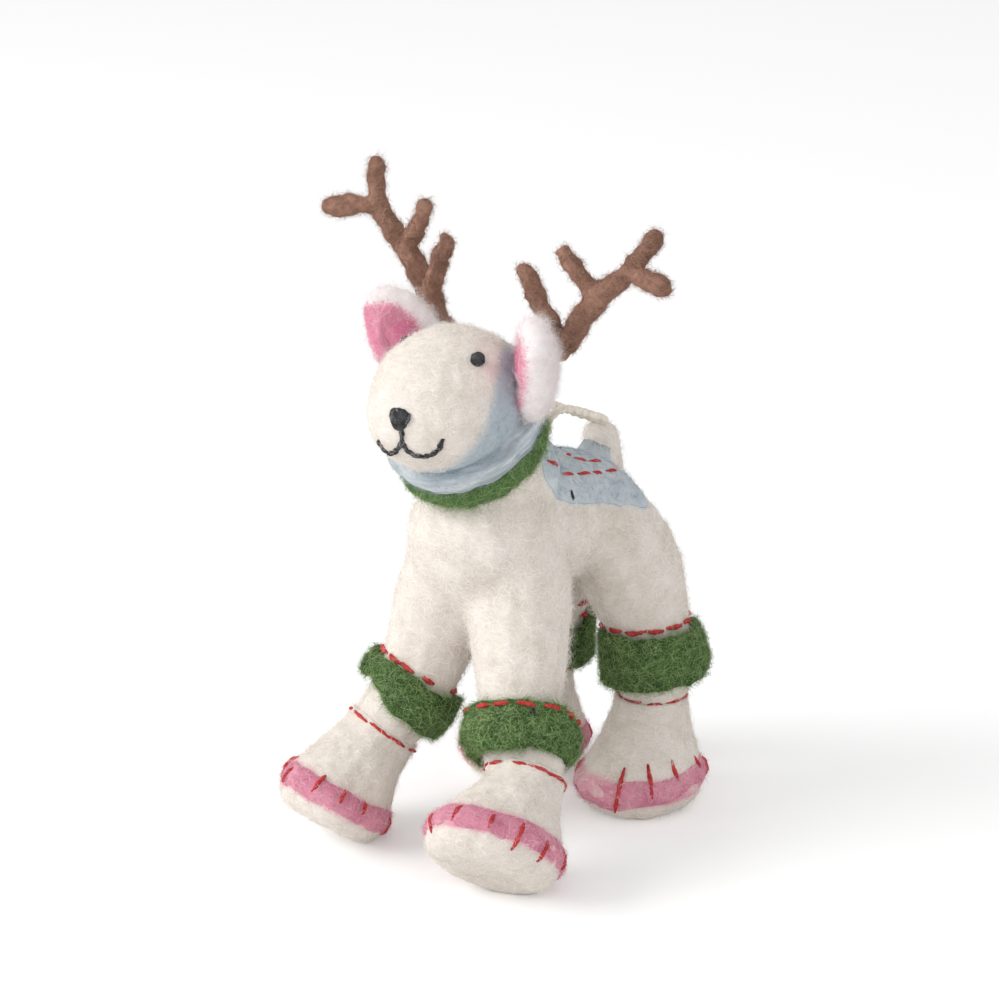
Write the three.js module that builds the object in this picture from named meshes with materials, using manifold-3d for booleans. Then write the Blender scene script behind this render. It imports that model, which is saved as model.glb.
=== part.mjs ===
// A hand-made felt reindeer ornament in boots, leg warmers, scarf and back blanket.
// Millimetres, +Z up. The animal faces -Y and its left side is +X. It stands on its four boots,
// and the origin lies at the middle of the foot of its box.
import * as THREE from 'three';
import { mergeVertices } from 'three/addons/utils/BufferGeometryUtils.js';
import Module from 'manifold-3d';

const wasm = await Module();
wasm.setup();

// Fits
const gap = 0.3;
const weldStep = 1e-4;

// Torso, neck and tail
const chestRadius = 14.2;
const barrelRadius = 12.2;
const rumpRadius = 11.4;
const chestHeight = 56.7;
const rumpHeight = 54.1;
const chestY = 0;
const rumpY = 26.5;
const neckRadius = 11.4;
const neckTilt = 33;
const neckForward = 4.6;
const neckLift = 19;
const neckMiddle = [0, chestY - neckForward, chestHeight + neckLift];
const neckReach = 13;
const spineRise = 0.8;
const tailRadius = 3.1;
const tailTaper = 0.92;
const tailRoot = [0, rumpY + 6.9, rumpHeight + 7.4];
const tailTip = [0, rumpY + 5.9, rumpHeight + 13.2];

// Head and face
const headWidth = 26.6;
const headLength = 30.6;
const headHeight = 26.4;
const headAside = 0.3;
const headForward = 5.6;
const headLift = 8.5;
const headMiddle = [headAside, neckMiddle[1] - headForward, neckMiddle[2] + headLift];
const headTurn = 6;
const eyeRadius = 1.3;
const eyeSpread = 8.4;
const leftEyeForward = 4.2;
const rightEyeForward = 2.3;
const noseWidth = 4.4;
const noseHeight = 4;
const noseDepth = 1.6;
const noseRise = 0.6;
const mouthThread = 0.75;
const mouthDrop = 4.4;
const mouthLeft = 7.2;
const mouthRight = 5;
const mouthLift = 0.6;
const mouthSag = 2.4;
const mouthProud = 0.45;

// Ears
const earLength = 21;
const earWidth = 12;
const earThickness = 7;
const earOut = 1.3;
const earBack = 5.3;
const earDrop = 6.3;
const earMiddle = [
  headWidth / 2 + earOut,
  headMiddle[1] + earBack,
  headMiddle[2] + headHeight / 2 - earDrop,
];
const earFacing = 43;
const earSpread = 20;
const liningDepth = 2;
const liningShare = 0.92;
const liningSink = 0.5;

// Antlers, with places on the left one measured from its root pivot
const antlerInset = 4.7;
const antlerForward = 3.7;
const antlerDrop = 6.5;
const antlerPivot = [
  headWidth / 2 - antlerInset,
  headMiddle[1] + headLength / 2 - antlerForward,
  headMiddle[2] + headHeight / 2 - antlerDrop,
];
const antlerStandRight = 1.09;
const antlerStandLeft = 0.91;
const beamRadius = 2;
const tineRadius = 1.6;
const beamNarrowing = 1.15;
const tipNarrowing = 0.9;
const outerSwelling = 1.1;
const firstRoot = 1.15;
const tineNarrowing = 0.88;
const firstForkLeft = 0;
const firstForkRight = 0.7;
const wireRadius = 0.5;
const wirePlay = 0.15;
const socketFlare = 16;
const socketReach = 10;

// Scarf and collar, both tilted rings round the neck
const scarfThickness = 5;
const scarfBite = 1.7;
const scarfRadius = neckRadius + scarfThickness / 2 - scarfBite;
const scarfWidth = 7.4;
const scarfRise = 3.9;
const collarThickness = 5;
const collarBite = 2.5;
const collarRadius = neckRadius + collarThickness / 2 - collarBite;
const collarWidth = 5;
const collarRise = -1.7;

// Blanket over the back
const blanketThickness = 1.3;
const blanketByChest = [[1, 34], [1, 18], [2.3, 12.3], [6.6, 7.5], [11.5, 5.2]];
const blanketByRump = [
  [-9.2, 6], [-2.5, 4.2], [1.8, 2.6], [3.6, 2.6], [4.8, 4], [5, 9], [4.2, 18.6],
];
const blanketSideView = [
  ...blanketByChest.map(([y, z]) => [chestY + y, chestHeight + z]),
  ...blanketByRump.map(([y, z]) => [rumpY + y, rumpHeight + z]),
];
const rows = {
  upper: { angle: 27, from: chestY + 12, to: rumpY - 0.5 },
  lower: { angle: 48, from: chestY + 5, to: rumpY + 1.5 },
};
const rowStations = 5;

// Boots
const bootHeight = 20.5;
const bootAnkleRadius = 6.8;
const bootWeltRadius = 11.3;
const bootSoleRadius = 7.6;
const bootStretch = 1.18;
const bootForward = 3.2;
const weltMiddle = 5.8;
const weltWidth = 4;
const weltDepth = 1.2;
const weltSlope = 0.5;
const soleEdgeRise = 1;
const soleEdgeFlare = 2;
const soleShoulderRise = 2.8;
const instepRise = 7.8;
const instepTuck = 0.9;
const shaftRise = 13.5;
const shaftFlare = 1.3;
const throatRise = 17.4;
const throatFlare = 0.2;
const boots = {
  front_left: { toeOut: -3, roll: 20, pitch: 40, sink: 0.8 },
  front_right: { toeOut: -6, roll: 22, pitch: 33, sink: 0.9 },
  rear_left: { toeOut: 2, roll: 0, pitch: 0, sink: 0 },
  rear_right: { toeOut: 4, roll: 0, pitch: 0, sink: 0 },
};

// Height above the sole and radius of the boot's plain round form, before the toe is drawn out
const bootProfile = [
  [0, 0],
  [0, bootSoleRadius],
  [soleEdgeRise, bootSoleRadius + soleEdgeFlare],
  [soleShoulderRise, bootWeltRadius - weltSlope],
  [weltMiddle - weltSlope, bootWeltRadius],
  [instepRise, bootWeltRadius - instepTuck],
  [shaftRise, bootAnkleRadius + shaftFlare],
  [throatRise, bootAnkleRadius + throatFlare],
  [bootHeight, bootAnkleRadius],
  [bootHeight, 0],
];

// How high the ankle of a tilted boot is when the boot's lowest edge gives a little on the ground
function ankleStand({ roll: rollOut, pitch, sink }) {
  const [lean, tip] = [rollOut, pitch].map(THREE.MathUtils.degToRad);
  const reach = Math.hypot(Math.sin(lean), bootStretch * Math.cos(lean) * Math.sin(tip));
  const toeLift = bootForward * Math.cos(lean) * Math.sin(tip);
  const stands = bootProfile.slice(1, -1).map(([height, radius]) => (
    (bootHeight - height) * Math.cos(lean) * Math.cos(tip) + radius * reach - toeLift
  ));
  return Math.max(...stands) - sink;
}

// Legs: places inside the body, at the hip, at the cuff and at the ankle
const frontLeftAnkle = ankleStand(boots.front_left);
const frontRightAnkle = ankleStand(boots.front_right);
const frontLeftLeg = [
  [4.5, chestY + 1, chestHeight],
  [8, chestY - 0.8, chestHeight - 11.3],
  [14.9, chestY - 8.5, frontLeftAnkle + 5.4],
  [18.8, chestY - 11.1, frontLeftAnkle],
];
const frontRightLeg = [
  [-4.5, chestY + 1, chestHeight],
  [-8, chestY - 0.8, chestHeight - 11.3],
  [-11.8, chestY - 8.1, frontRightAnkle + 6.7],
  [-15, chestY - 11.4, frontRightAnkle],
];
const frontRadii = [9.6, 9.4, 7.4, bootAnkleRadius - 0.1];
const rearLeftLeg = [
  [5.5, rumpY - 0.5, rumpHeight + 0.6],
  [10.2, rumpY + 2.5, rumpHeight - 9.4],
  [14.2, rumpY + 4.3, bootHeight + 8],
  [14.2, rumpY + 4.3, bootHeight],
];
const rearRightLeg = [
  [-5.5, rumpY - 0.5, rumpHeight + 0.6],
  [-9.4, rumpY + 2.5, rumpHeight - 9.4],
  [-12.1, rumpY + 4.6, bootHeight + 8],
  [-13.7, rumpY + 4.3, bootHeight],
];
const rearRadii = [8.8, 9.6, 7.3, bootAnkleRadius];

// Leg-warmer cuffs and the red sewing thread
const cuffThickness = 2.3;
const cuffHeights = { front_left: 9, front_right: 9, rear_left: 10.6, rear_right: 9.4 };
const cuffLean = 0.5;
const ankleThreadDrop = 0.9;
const cuffThreadRise = 0.8;
const threadRadius = 0.55;

// Hanging loop
const twineRadius = 0.85;
const twineSides = 8;
const twineSteps = 40;
const loopPoints = [
  [0.6, 16.4, 74.3], [0.9, 17.2, 75.3], [1.4, 18.4, 76], [1.9, 19.9, 76.1], [2.5, 21.7, 75.6],
  [3.1, 23.7, 74.8], [3.5, 25.7, 73.9], [3.6, 27.6, 73.1], [3.2, 29.4, 72.2], [2.1, 30.7, 71.6],
  [0.7, 31.3, 71.3], [-0.7, 31.3, 71.3], [-2.1, 30.7, 71.6], [-3.2, 29.4, 72.2], [-3.6, 27.6, 73.1],
  [-3.5, 25.7, 73.9], [-3.1, 23.7, 74.8], [-2.5, 21.7, 75.6], [-1.9, 19.9, 76.1], [-1.4, 18.4, 76],
  [-0.9, 17.2, 75.3], [-0.6, 16.4, 74.3],
];
const knotRadius = 1.5;
const knotBehindChest = 15;

// Facets round each kind of piece
const bodySides = 20;
const limbSides = 12;
const bootSides = 16;
const branchSides = 7;
const ringSides = 18;
const ringSection = 6;
const threadSides = 5;
const trimSides = 10;
const eggRings = 0.6;

const vector = ([x, y, z]) => new THREE.Vector3(x, y, z);
const radians = THREE.MathUtils.degToRad;
const mirrored = ([x, y, z]) => [-x, y, z];
const between = THREE.MathUtils.lerp;

// Turns a closed geometry into a solid. Only the places count, so that shared corners merge.
function solid(geometry) {
  const bare = geometry.clone();
  bare.deleteAttribute('normal');
  bare.deleteAttribute('uv');
  const merged = mergeVertices(bare, weldStep);
  const corners = merged.index.array;
  const triangles = [];
  for (let i = 0; i < corners.length; i += 3) {
    const [a, b, c] = [corners[i], corners[i + 1], corners[i + 2]];
    if (a !== b && b !== c && c !== a) {
      triangles.push(a, b, c);
    }
  }
  const vertProperties = new Float32Array(merged.attributes.position.array);
  return new wasm.Manifold(new wasm.Mesh({
    numProp: 3,
    vertProperties,
    triVerts: new Uint32Array(triangles),
  }));
}

function geometryOf(body) {
  const { vertProperties, triVerts } = body.getMesh();
  const geometry = new THREE.BufferGeometry();
  geometry.setAttribute('position', new THREE.BufferAttribute(new Float32Array(vertProperties), 3));
  geometry.setIndex(new THREE.BufferAttribute(new Uint32Array(triVerts), 1));
  geometry.computeVertexNormals();
  return geometry;
}

// An egg of felt with the given half sizes.
function egg(halfX, halfY, halfZ, sides, matrix) {
  const geometry = new THREE.SphereGeometry(1, sides, Math.round(sides * eggRings));
  geometry.rotateX(Math.PI / 2);
  geometry.scale(halfX, halfY, halfZ);
  return solid(geometry.applyMatrix4(matrix));
}

function placed(place, turnZ = 0) {
  const matrix = new THREE.Matrix4().makeRotationZ(radians(turnZ));
  return matrix.setPosition(vector(place));
}

function curveThrough(stations) {
  return new THREE.CatmullRomCurve3(stations.map(vector), false, 'centripetal');
}

// The radius as the height of a curve, by the share of a roll's length.
function girthThrough(radii) {
  return new THREE.CatmullRomCurve3(radii.map((radius, i) => new THREE.Vector3(i, radius, 0)));
}

// A felted roll: a lathed capsule whose radius follows the stations, bent along their curve.
function roll(stations, radii, sides, { grow = 0, steps = 8, capSteps = 3, side = [0, 1, 0] } = {}) {
  const path = curveThrough(stations);
  const girth = girthThrough(radii);
  const length = path.getLength();
  const [first, last] = [radii[0] + grow, radii[radii.length - 1] + grow];
  const profile = [];
  for (let i = 0; i < capSteps; i += 1) {
    const turn = (Math.PI / 2) * (i / capSteps);
    profile.push(new THREE.Vector2(first * Math.sin(turn), -first * Math.cos(turn)));
  }
  for (let i = 0; i <= steps; i += 1) {
    profile.push(new THREE.Vector2(girth.getPoint(i / steps).y + grow, (length * i) / steps));
  }
  for (let i = 1; i <= capSteps; i += 1) {
    const turn = (Math.PI / 2) * (i / capSteps);
    profile.push(new THREE.Vector2(last * Math.cos(turn), length + last * Math.sin(turn)));
  }
  profile[0].x = 0;
  profile[profile.length - 1].x = 0;
  const geometry = new THREE.LatheGeometry(profile, sides);
  return solid(bend(geometry, path, length, vector(side)));
}

function bend(geometry, path, length, side) {
  const places = geometry.attributes.position;
  for (let i = 0; i < places.count; i += 1) {
    const along = places.getY(i);
    const held = THREE.MathUtils.clamp(along, 0, length);
    const part = path.getUtoTmapping(held / length);
    const tangent = path.getTangent(part);
    const across = new THREE.Vector3().crossVectors(side, tangent).normalize();
    const out = new THREE.Vector3().crossVectors(across, tangent);
    const place = path.getPoint(part)
      .addScaledVector(tangent, along - held)
      .addScaledVector(across, places.getX(i))
      .addScaledVector(out, places.getZ(i));
    places.setXYZ(i, place.x, place.y, place.z);
  }
  return geometry;
}

// A ring with an oval section, lying across the given axis.
function ring(radius, halfRadial, halfAlong, matrix, section = ringSection) {
  const geometry = new THREE.TorusGeometry(radius, 1, section, ringSides);
  const places = geometry.attributes.position;
  for (let i = 0; i < places.count; i += 1) {
    const [x, y, z] = [places.getX(i), places.getY(i), places.getZ(i)];
    const reach = Math.hypot(x, y);
    const wanted = radius + (reach - radius) * halfRadial;
    places.setXYZ(i, (x * wanted) / reach, (y * wanted) / reach, z * halfAlong);
  }
  return solid(geometry.applyMatrix4(matrix));
}

// A matrix that sends +Z to the given direction at the given place.
function facing(place, direction) {
  const turn = new THREE.Quaternion().setFromUnitVectors(
    new THREE.Vector3(0, 0, 1),
    direction.clone().normalize(),
  );
  return new THREE.Matrix4().makeRotationFromQuaternion(turn).setPosition(place);
}

const ornament = new THREE.Group();

function addPiece(name, body, color, roughness = 0.95, metalness = 0) {
  const material = new THREE.MeshStandardMaterial({ color, roughness, metalness });
  const mesh = new THREE.Mesh(geometryOf(body), material);
  mesh.name = name;
  ornament.add(mesh);
}

const whiteWool = 0xebe4dc;
const pinkWool = 0xd88299;
const greenWool = 0x466e3c;
const blueWool = 0xa5b4be;
const brownWool = 0x6e4b3c;
const redThread = 0xc83232;
const blackThread = 0x1c1c20;
const creamTwine = 0xe1cdb4;
const steelGrey = 0x9a9a9c;

// Neck direction, and a place on its axis that lies the given way above the neck's middle
const neckAxis = new THREE.Vector3(0, -Math.sin(radians(neckTilt)), Math.cos(radians(neckTilt)));

function onNeck(rise) {
  return vector(neckMiddle).addScaledVector(neckAxis, rise);
}

// Torso: one barrel from rump to chest, with the leaning neck felted on.
const spineMiddle = [0, (rumpY + chestY) / 2, (rumpHeight + chestHeight) / 2 + spineRise];
const spine = [[0, rumpY, rumpHeight], spineMiddle, [0, chestY, chestHeight]];
const spineRadii = [rumpRadius, barrelRadius, chestRadius];

const neckLine = [onNeck(-neckReach).toArray(), neckMiddle];
const neckRadii = [neckRadius, neckRadius];

function torsoBody(grow = 0) {
  const barrel = roll(spine, spineRadii, bodySides, { grow, steps: 6, capSteps: 4, side: [1, 0, 0] });
  const neck = roll(neckLine, neckRadii, bodySides, { grow, steps: 2, side: [1, 0, 0] });
  return barrel.add(neck);
}

function headBody(grow = 0) {
  return egg(headWidth / 2 + grow, headLength / 2 + grow, headHeight / 2 + grow, bodySides + 4,
    placed(headMiddle, headTurn));
}

function tailBody(grow = 0) {
  return roll([tailRoot, tailTip], [tailRadius, tailRadius * tailTaper], trimSides, { grow, steps: 2 });
}

// Scarf and collar rings round the neck
function scarfBody(grow = 0) {
  return ring(scarfRadius, scarfThickness / 2 + grow, scarfWidth / 2 + grow,
    facing(onNeck(scarfRise), neckAxis));
}

function collarBody(grow = 0) {
  return ring(collarRadius, collarThickness / 2 + grow, collarWidth / 2 + grow,
    facing(onNeck(collarRise), neckAxis));
}

// A place on the face: the head's own frame, before its turn.
function onHead(place) {
  const turned = vector(place).applyAxisAngle(new THREE.Vector3(0, 0, 1), radians(headTurn));
  return turned.add(vector(headMiddle));
}

function headSurface(x, z) {
  const share = 1 - (x / (headWidth / 2)) ** 2 - (z / (headHeight / 2)) ** 2;
  return -(headLength / 2) * Math.sqrt(Math.max(share, 0));
}

function eyeHeight(forward) {
  const share = 1 - (eyeSpread / (headWidth / 2)) ** 2 - (forward / (headLength / 2)) ** 2;
  return (headHeight / 2) * Math.sqrt(share);
}

function eyeBody(side) {
  const forward = side > 0 ? leftEyeForward : rightEyeForward;
  const matrix = placed(onHead([side * eyeSpread, -forward, eyeHeight(forward)]).toArray());
  return egg(eyeRadius, eyeRadius, eyeRadius, trimSides, matrix).subtract(headBody(gap));
}

function noseBody(grow = 0) {
  const middle = onHead([0, headSurface(0, noseRise), noseRise]);
  return egg(noseWidth / 2 + grow, noseDepth + grow, noseHeight / 2 + grow, limbSides,
    placed(middle.toArray(), headTurn));
}

// One black thread: straight down from the nose, then two arcs of the smile.
function mouthBody() {
  const lift = gap + mouthProud;
  const onFace = (x, z) => onHead([x, headSurface(x, z) - lift, z]).toArray();
  const top = noseRise - noseHeight / 2 - gap - mouthThread;
  const fork = noseRise - mouthDrop;
  const thread = (places) => roll(places, places.map(() => mouthThread), threadSides + 1,
    { steps: 3, capSteps: 2, side: [0.2, 1, 0] });
  const corner = fork + mouthLift;
  const sag = fork - mouthSag;
  const stem = thread([onFace(0, top), onFace(0, fork)]);
  const leftArc = thread([onFace(0, fork), onFace(mouthLeft / 2, sag), onFace(mouthLeft, corner)]);
  const rightArc = thread([onFace(0, fork), onFace(-mouthRight / 2, sag), onFace(-mouthRight, corner)]);
  return stem.add(leftArc).add(rightArc).subtract(headBody(gap)).subtract(noseBody(gap));
}

// An ear's frame: +Z runs to its tip and -Y is the hollow, lined side.
function earFrame(side) {
  const lean = new THREE.Matrix4().makeRotationY(radians(side * earSpread));
  const tip = new THREE.Matrix4().makeRotationX(radians(earSpread));
  const face = new THREE.Matrix4().makeRotationZ(radians(-side * earFacing));
  const middle = side > 0 ? earMiddle : mirrored(earMiddle);
  return lean.multiply(tip).multiply(face).setPosition(vector(middle));
}

function earBody(side, grow = 0) {
  return egg(earWidth / 2 + grow, earThickness / 2 + grow, earLength / 2 + grow, limbSides + 2,
    earFrame(side));
}

// The hollow of the ear is a flat egg pushed into its face, and the lining fills its floor.
function earHollow(side, grow = 0) {
  const sunk = new THREE.Matrix4().makeTranslation(0, -earThickness / 2, 0);
  return egg((earWidth / 2) * liningShare + grow, liningDepth + grow,
    (earLength / 2) * liningShare + grow, limbSides, earFrame(side).multiply(sunk));
}

// Antler branches of the left side, measured from the root pivot, before each antler's own stand.
const elbow = [5.5, 2.1, 2.2];
const beamLow = [9.3, 2.3, 8.3];
const beamMiddle = [13.3, 1.8, 13.5];
const beamTop = [20.2, 2.3, 20];
const forkUpper = [23.3, 5, 26];
const forkOuter = [29.2, -0.4, 19];
const firstTine = [0.3, -2.1, 17.4];
const secondTine = [7.4, 0.4, 21.4];

function antlerPlaces(side) {
  const stand = side > 0 ? antlerStandLeft : antlerStandRight;
  const pivot = antlerPivot;
  return (places) => places.map(([x, y, z]) => [
    side * (pivot[0] + x),
    pivot[1] + y,
    pivot[2] + (z > elbow[2] ? elbow[2] + (z - elbow[2]) * stand : z),
  ]);
}

function antlerBody(side) {
  const at = antlerPlaces(side);
  const limb = (places, radii, steps) => roll(at(places), radii, branchSides, { steps, capSteps: 2 });
  const root = [0, 0, 0];
  const upBeam = side > 0 ? firstForkLeft : firstForkRight;
  const firstFork = elbow.map((value, i) => between(value, beamLow[i], upBeam));
  const middleRadius = tineRadius * beamNarrowing;
  const beam = limb([root, elbow, beamLow, beamMiddle, beamTop, forkUpper],
    [beamRadius, beamRadius, beamRadius, middleRadius, tineRadius, tineRadius * tipNarrowing], 12);
  const outer = limb([beamTop, forkOuter], [tineRadius, tineRadius * outerSwelling], 2);
  const first = limb([firstFork, firstTine], [tineRadius * firstRoot, tineRadius * tineNarrowing], 3);
  const second = limb([beamMiddle, secondTine], [tineRadius, tineRadius * tineNarrowing], 3);
  return beam.add(outer).add(first).add(second);
}

// The wire runs in the middle of the beam. Its bore opens at the root, behind the wire's own end.
function wireBody(side, radius, rootReach) {
  const at = antlerPlaces(side);
  const root = vector(elbow).setLength(-rootReach).toArray();
  const places = at([root, elbow, beamLow, beamMiddle]);
  return roll(places, places.map(() => radius), threadSides + 1, { steps: 7, capSteps: 2 });
}

// The head's pocket for an antler root: a ball at the pivot and a flare that clears the bending beam.
function antlerSocket(side) {
  const pivot = vector(antlerPlaces(side)([[0, 0, 0]])[0]);
  const out = vector(antlerPlaces(side)([elbow])[0]).sub(pivot);
  const snug = beamRadius + gap;
  const ball = egg(snug, snug, snug, limbSides, placed(pivot.toArray()));
  const wide = snug + socketReach * Math.tan(radians(socketFlare));
  const cone = new THREE.CylinderGeometry(wide, snug, socketReach, limbSides);
  cone.rotateX(Math.PI / 2);
  cone.translate(0, 0, socketReach / 2);
  return ball.add(solid(cone.applyMatrix4(facing(pivot, out))));
}

// A leg from inside the body to its ankle, cut square at the ankle for the boot.
function legBody(leg, grow = 0) {
  return roll(leg.places, leg.radii, limbSides, { grow, steps: 9 });
}

// A place on the leg's axis, the given way up from the ankle.
function legAt(leg, rise) {
  const path = curveThrough(leg.places);
  const share = 1 - rise / path.getLength();
  return {
    place: path.getPointAt(share),
    axis: path.getTangentAt(share).negate(),
    radius: girthThrough(leg.radii).getPoint(share).y,
  };
}

// A boot's frame: +Z up its shaft from the sole, -Y to the toe, with the shaft's top at the ankle.
function bootFrame(leg) {
  const ankle = vector(leg.places[leg.places.length - 1]);
  const { toeOut, roll: rollOut, pitch } = leg.boot;
  const frame = new THREE.Matrix4().makeRotationZ(radians(leg.side * toeOut))
    .multiply(new THREE.Matrix4().makeRotationY(radians(-leg.side * rollOut)))
    .multiply(new THREE.Matrix4().makeRotationX(radians(-pitch)));
  const up = new THREE.Vector3(0, 0, bootHeight).applyMatrix4(frame);
  return frame.setPosition(ankle.sub(up));
}

function drawToe(geometry) {
  const places = geometry.attributes.position;
  for (let i = 0; i < places.count; i += 1) {
    const low = 1 - THREE.MathUtils.smoothstep(places.getZ(i), weltMiddle, bootHeight);
    const y = places.getY(i) * between(1, bootStretch, low) - bootForward * low;
    places.setY(i, y);
  }
  return geometry;
}

function bootForm(grow, frame) {
  const points = bootProfile.map(([height, radius], i) => {
    const onAxis = i === 0 || i === bootProfile.length - 1;
    return new THREE.Vector2(onAxis ? 0 : radius + grow, height);
  });
  const geometry = new THREE.LatheGeometry(points, bootSides);
  geometry.rotateX(Math.PI / 2);
  return solid(drawToe(geometry).applyMatrix4(frame));
}

// A flat slab across the boot, from one height to another.
function bootSlab(low, high, frame) {
  const wide = bootWeltRadius * 4;
  const slab = new THREE.BoxGeometry(wide, wide, high - low);
  slab.translate(0, 0, (low + high) / 2);
  return solid(slab.applyMatrix4(frame));
}

function groundCut() {
  const deep = 20;
  const wide = 300;
  const ground = new THREE.BoxGeometry(wide, wide, deep);
  ground.translate(0, 0, -deep / 2);
  return solid(ground);
}

// A leg ends just short of the animal's middle plane, under the belly.
function otherHalf(side) {
  const wide = 100;
  const away = -side * (wide - gap) / 2;
  return solid(new THREE.BoxGeometry(wide, wide, wide).translate(away, 0, wide / 2));
}

// A soft ring that stands clear of the leg it goes round. It leans from square to the leg, at the
// cuff's middle, towards the boot's top.
function legRing(leg, rise, thickness, height, section) {
  const { place, radius } = legAt(leg, rise);
  const { axis } = legAt(leg, leg.cuffRise);
  const shaft = new THREE.Vector3().setFromMatrixColumn(bootFrame(leg), 2);
  axis.lerp(shaft, cuffLean);
  return ring(radius + gap * 2 + thickness / 2, thickness / 2, height / 2, facing(place, axis), section);
}

function addLeg(name, leg) {
  const frame = bootFrame(leg);

  // The leg ends on the boot's top plane.
  const below = bootSlab(0, bootHeight + gap, frame);
  const limb = legBody(leg).subtract(below).subtract(torsoBody(gap)).subtract(otherHalf(leg.side));
  addPiece(`${name}_leg`, limb, whiteWool);

  const low = weltMiddle - weltWidth / 2;
  const high = weltMiddle + weltWidth / 2;
  const groove = bootSlab(low, high, frame).subtract(bootForm(-weltDepth, frame));
  addPiece(`${name}_boot`, bootForm(0, frame).subtract(groove).subtract(groundCut()), whiteWool);
  const band = bootForm(gap, frame).intersect(bootSlab(low + gap, high - gap, frame))
    .subtract(bootForm(gap - weltDepth, frame)).subtract(groundCut());
  addPiece(`${name}_welt_band`, band, pinkWool);

  // The leg warmer, then the thread that gathers its top edge and the thread that holds the boot.
  const cuffHeight = cuffHeights[name];
  const cuff = legRing(leg, leg.cuffRise, cuffThickness, cuffHeight).subtract(legBody(leg, gap));
  addPiece(`${name}_cuff`, cuff.subtract(bootForm(gap, frame)), greenWool);
  const cuffTop = leg.cuffRise + cuffHeight / 2 + cuffThreadRise;
  const thread = threadRadius * 2;
  addPiece(`${name}_cuff_thread`, legRing(leg, cuffTop, thread, thread, threadSides), redThread);
  const ankleLift = new THREE.Matrix4().makeTranslation(0, 0, bootHeight - ankleThreadDrop);
  addPiece(`${name}_ankle_thread`, ring(bootAnkleRadius + gap * 2 + threadRadius, threadRadius,
    threadRadius, frame.clone().multiply(ankleLift), threadSides), redThread);
}

const legs = {
  front_left: { places: frontLeftLeg, radii: frontRadii, cuffRise: 6.8, side: 1 },
  front_right: { places: frontRightLeg, radii: frontRadii, cuffRise: 7.6, side: -1 },
  rear_left: { places: rearLeftLeg, radii: rearRadii, cuffRise: 8.4, side: 1 },
  rear_right: { places: rearRightLeg, radii: rearRadii, cuffRise: 6, side: -1 },
};
for (const [name, leg] of Object.entries(legs)) {
  leg.boot = boots[name];
}

// The back under the blanket: barrel and haunches
function backBody(grow) {
  return torsoBody(grow).add(legBody(legs.rear_left, grow)).add(legBody(legs.rear_right, grow));
}

// The blanket is a felt sheet laid over the back, cut to its side view and tucked under the collar.
function blanketBody() {
  const wide = 60;
  const outline = new THREE.Shape(blanketSideView.map(([y, z]) => new THREE.Vector2(y, z)));
  const cutter = new THREE.ExtrudeGeometry(outline, { depth: wide, bevelEnabled: false });
  cutter.translate(0, 0, -wide / 2);
  const [x, y, z] = [[1, 0, 0], [0, 1, 0], [0, 0, 1]].map(vector);
  cutter.applyMatrix4(new THREE.Matrix4().makeBasis(y, z, x));
  const above = new THREE.BoxGeometry(wide, wide, wide);
  above.translate(0, 0, wide / 2);
  const overCollar = solid(above.applyMatrix4(facing(onNeck(collarRise), neckAxis)));
  return backBody(gap + blanketThickness).subtract(backBody(gap)).intersect(solid(cutter))
    .subtract(overCollar).subtract(collarBody(gap)).subtract(tailBody(gap));
}

// How far a place lies outside the rolls that the blanket covers
const coveredRolls = [
  [spine, spineRadii],
  [neckLine, neckRadii],
  [rearLeftLeg, rearRadii],
  [rearRightLeg, rearRadii],
].map(([stations, radii]) => {
  const samples = 60;
  const girth = girthThrough(radii);
  return curveThrough(stations).getSpacedPoints(samples)
    .map((place, i) => ({ place, radius: girth.getPoint(i / samples).y }));
}).flat();

function clearance(place) {
  return Math.min(...coveredRolls.map((sample) => sample.place.distanceTo(place) - sample.radius));
}

// A place on the blanket for something of the given radius, at an angle from straight up.
function onBlanket(y, angle, radius) {
  const lift = blanketThickness + gap * 2 + radius;
  const out = new THREE.Vector3(Math.sin(radians(angle)), 0, Math.cos(radians(angle)));
  const step = 0.05;
  const place = new THREE.Vector3(0, y, spineMiddle[2]);
  while (clearance(place) < lift) {
    place.addScaledVector(out, step);
  }
  return place.toArray();
}

// A row of running stitch along the blanket's side
function rowBody(row, side) {
  const places = [];
  for (let i = 0; i < rowStations; i += 1) {
    const y = between(row.from, row.to, i / (rowStations - 1));
    places.push(onBlanket(y, row.angle * side, threadRadius));
  }
  return roll(places, places.map(() => threadRadius), threadSides,
    { steps: 8, capSteps: 2, side: [1, 0, 0] });
}

function knotBody() {
  const place = onBlanket(chestY + knotBehindChest, 0, knotRadius);
  return egg(knotRadius, knotRadius, knotRadius, trimSides, placed(place));
}

// The loop is one length of twine, both ends caught in the knot on the back.
function loopBody() {
  const section = new THREE.Shape().absarc(0, 0, twineRadius, 0, Math.PI * 2);
  return solid(new THREE.ExtrudeGeometry(section, {
    steps: twineSteps,
    curveSegments: twineSides / 2,
    extrudePath: curveThrough(loopPoints),
  }));
}

addPiece('torso', torsoBody().subtract(headBody(gap)), whiteWool);
addPiece('head', headBody().subtract(antlerSocket(1)).subtract(antlerSocket(-1)), whiteWool);
addPiece('tail', tailBody().subtract(torsoBody(gap)), whiteWool);
addPiece('scarf', scarfBody().subtract(headBody(gap)).subtract(torsoBody(gap)), blueWool);
addPiece('collar',
  collarBody().subtract(torsoBody(gap)).subtract(scarfBody(gap)).subtract(headBody(gap)), greenWool);
addPiece('nose', noseBody().subtract(headBody(gap)), blackThread);
addPiece('mouth_thread', mouthBody(), blackThread);

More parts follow.
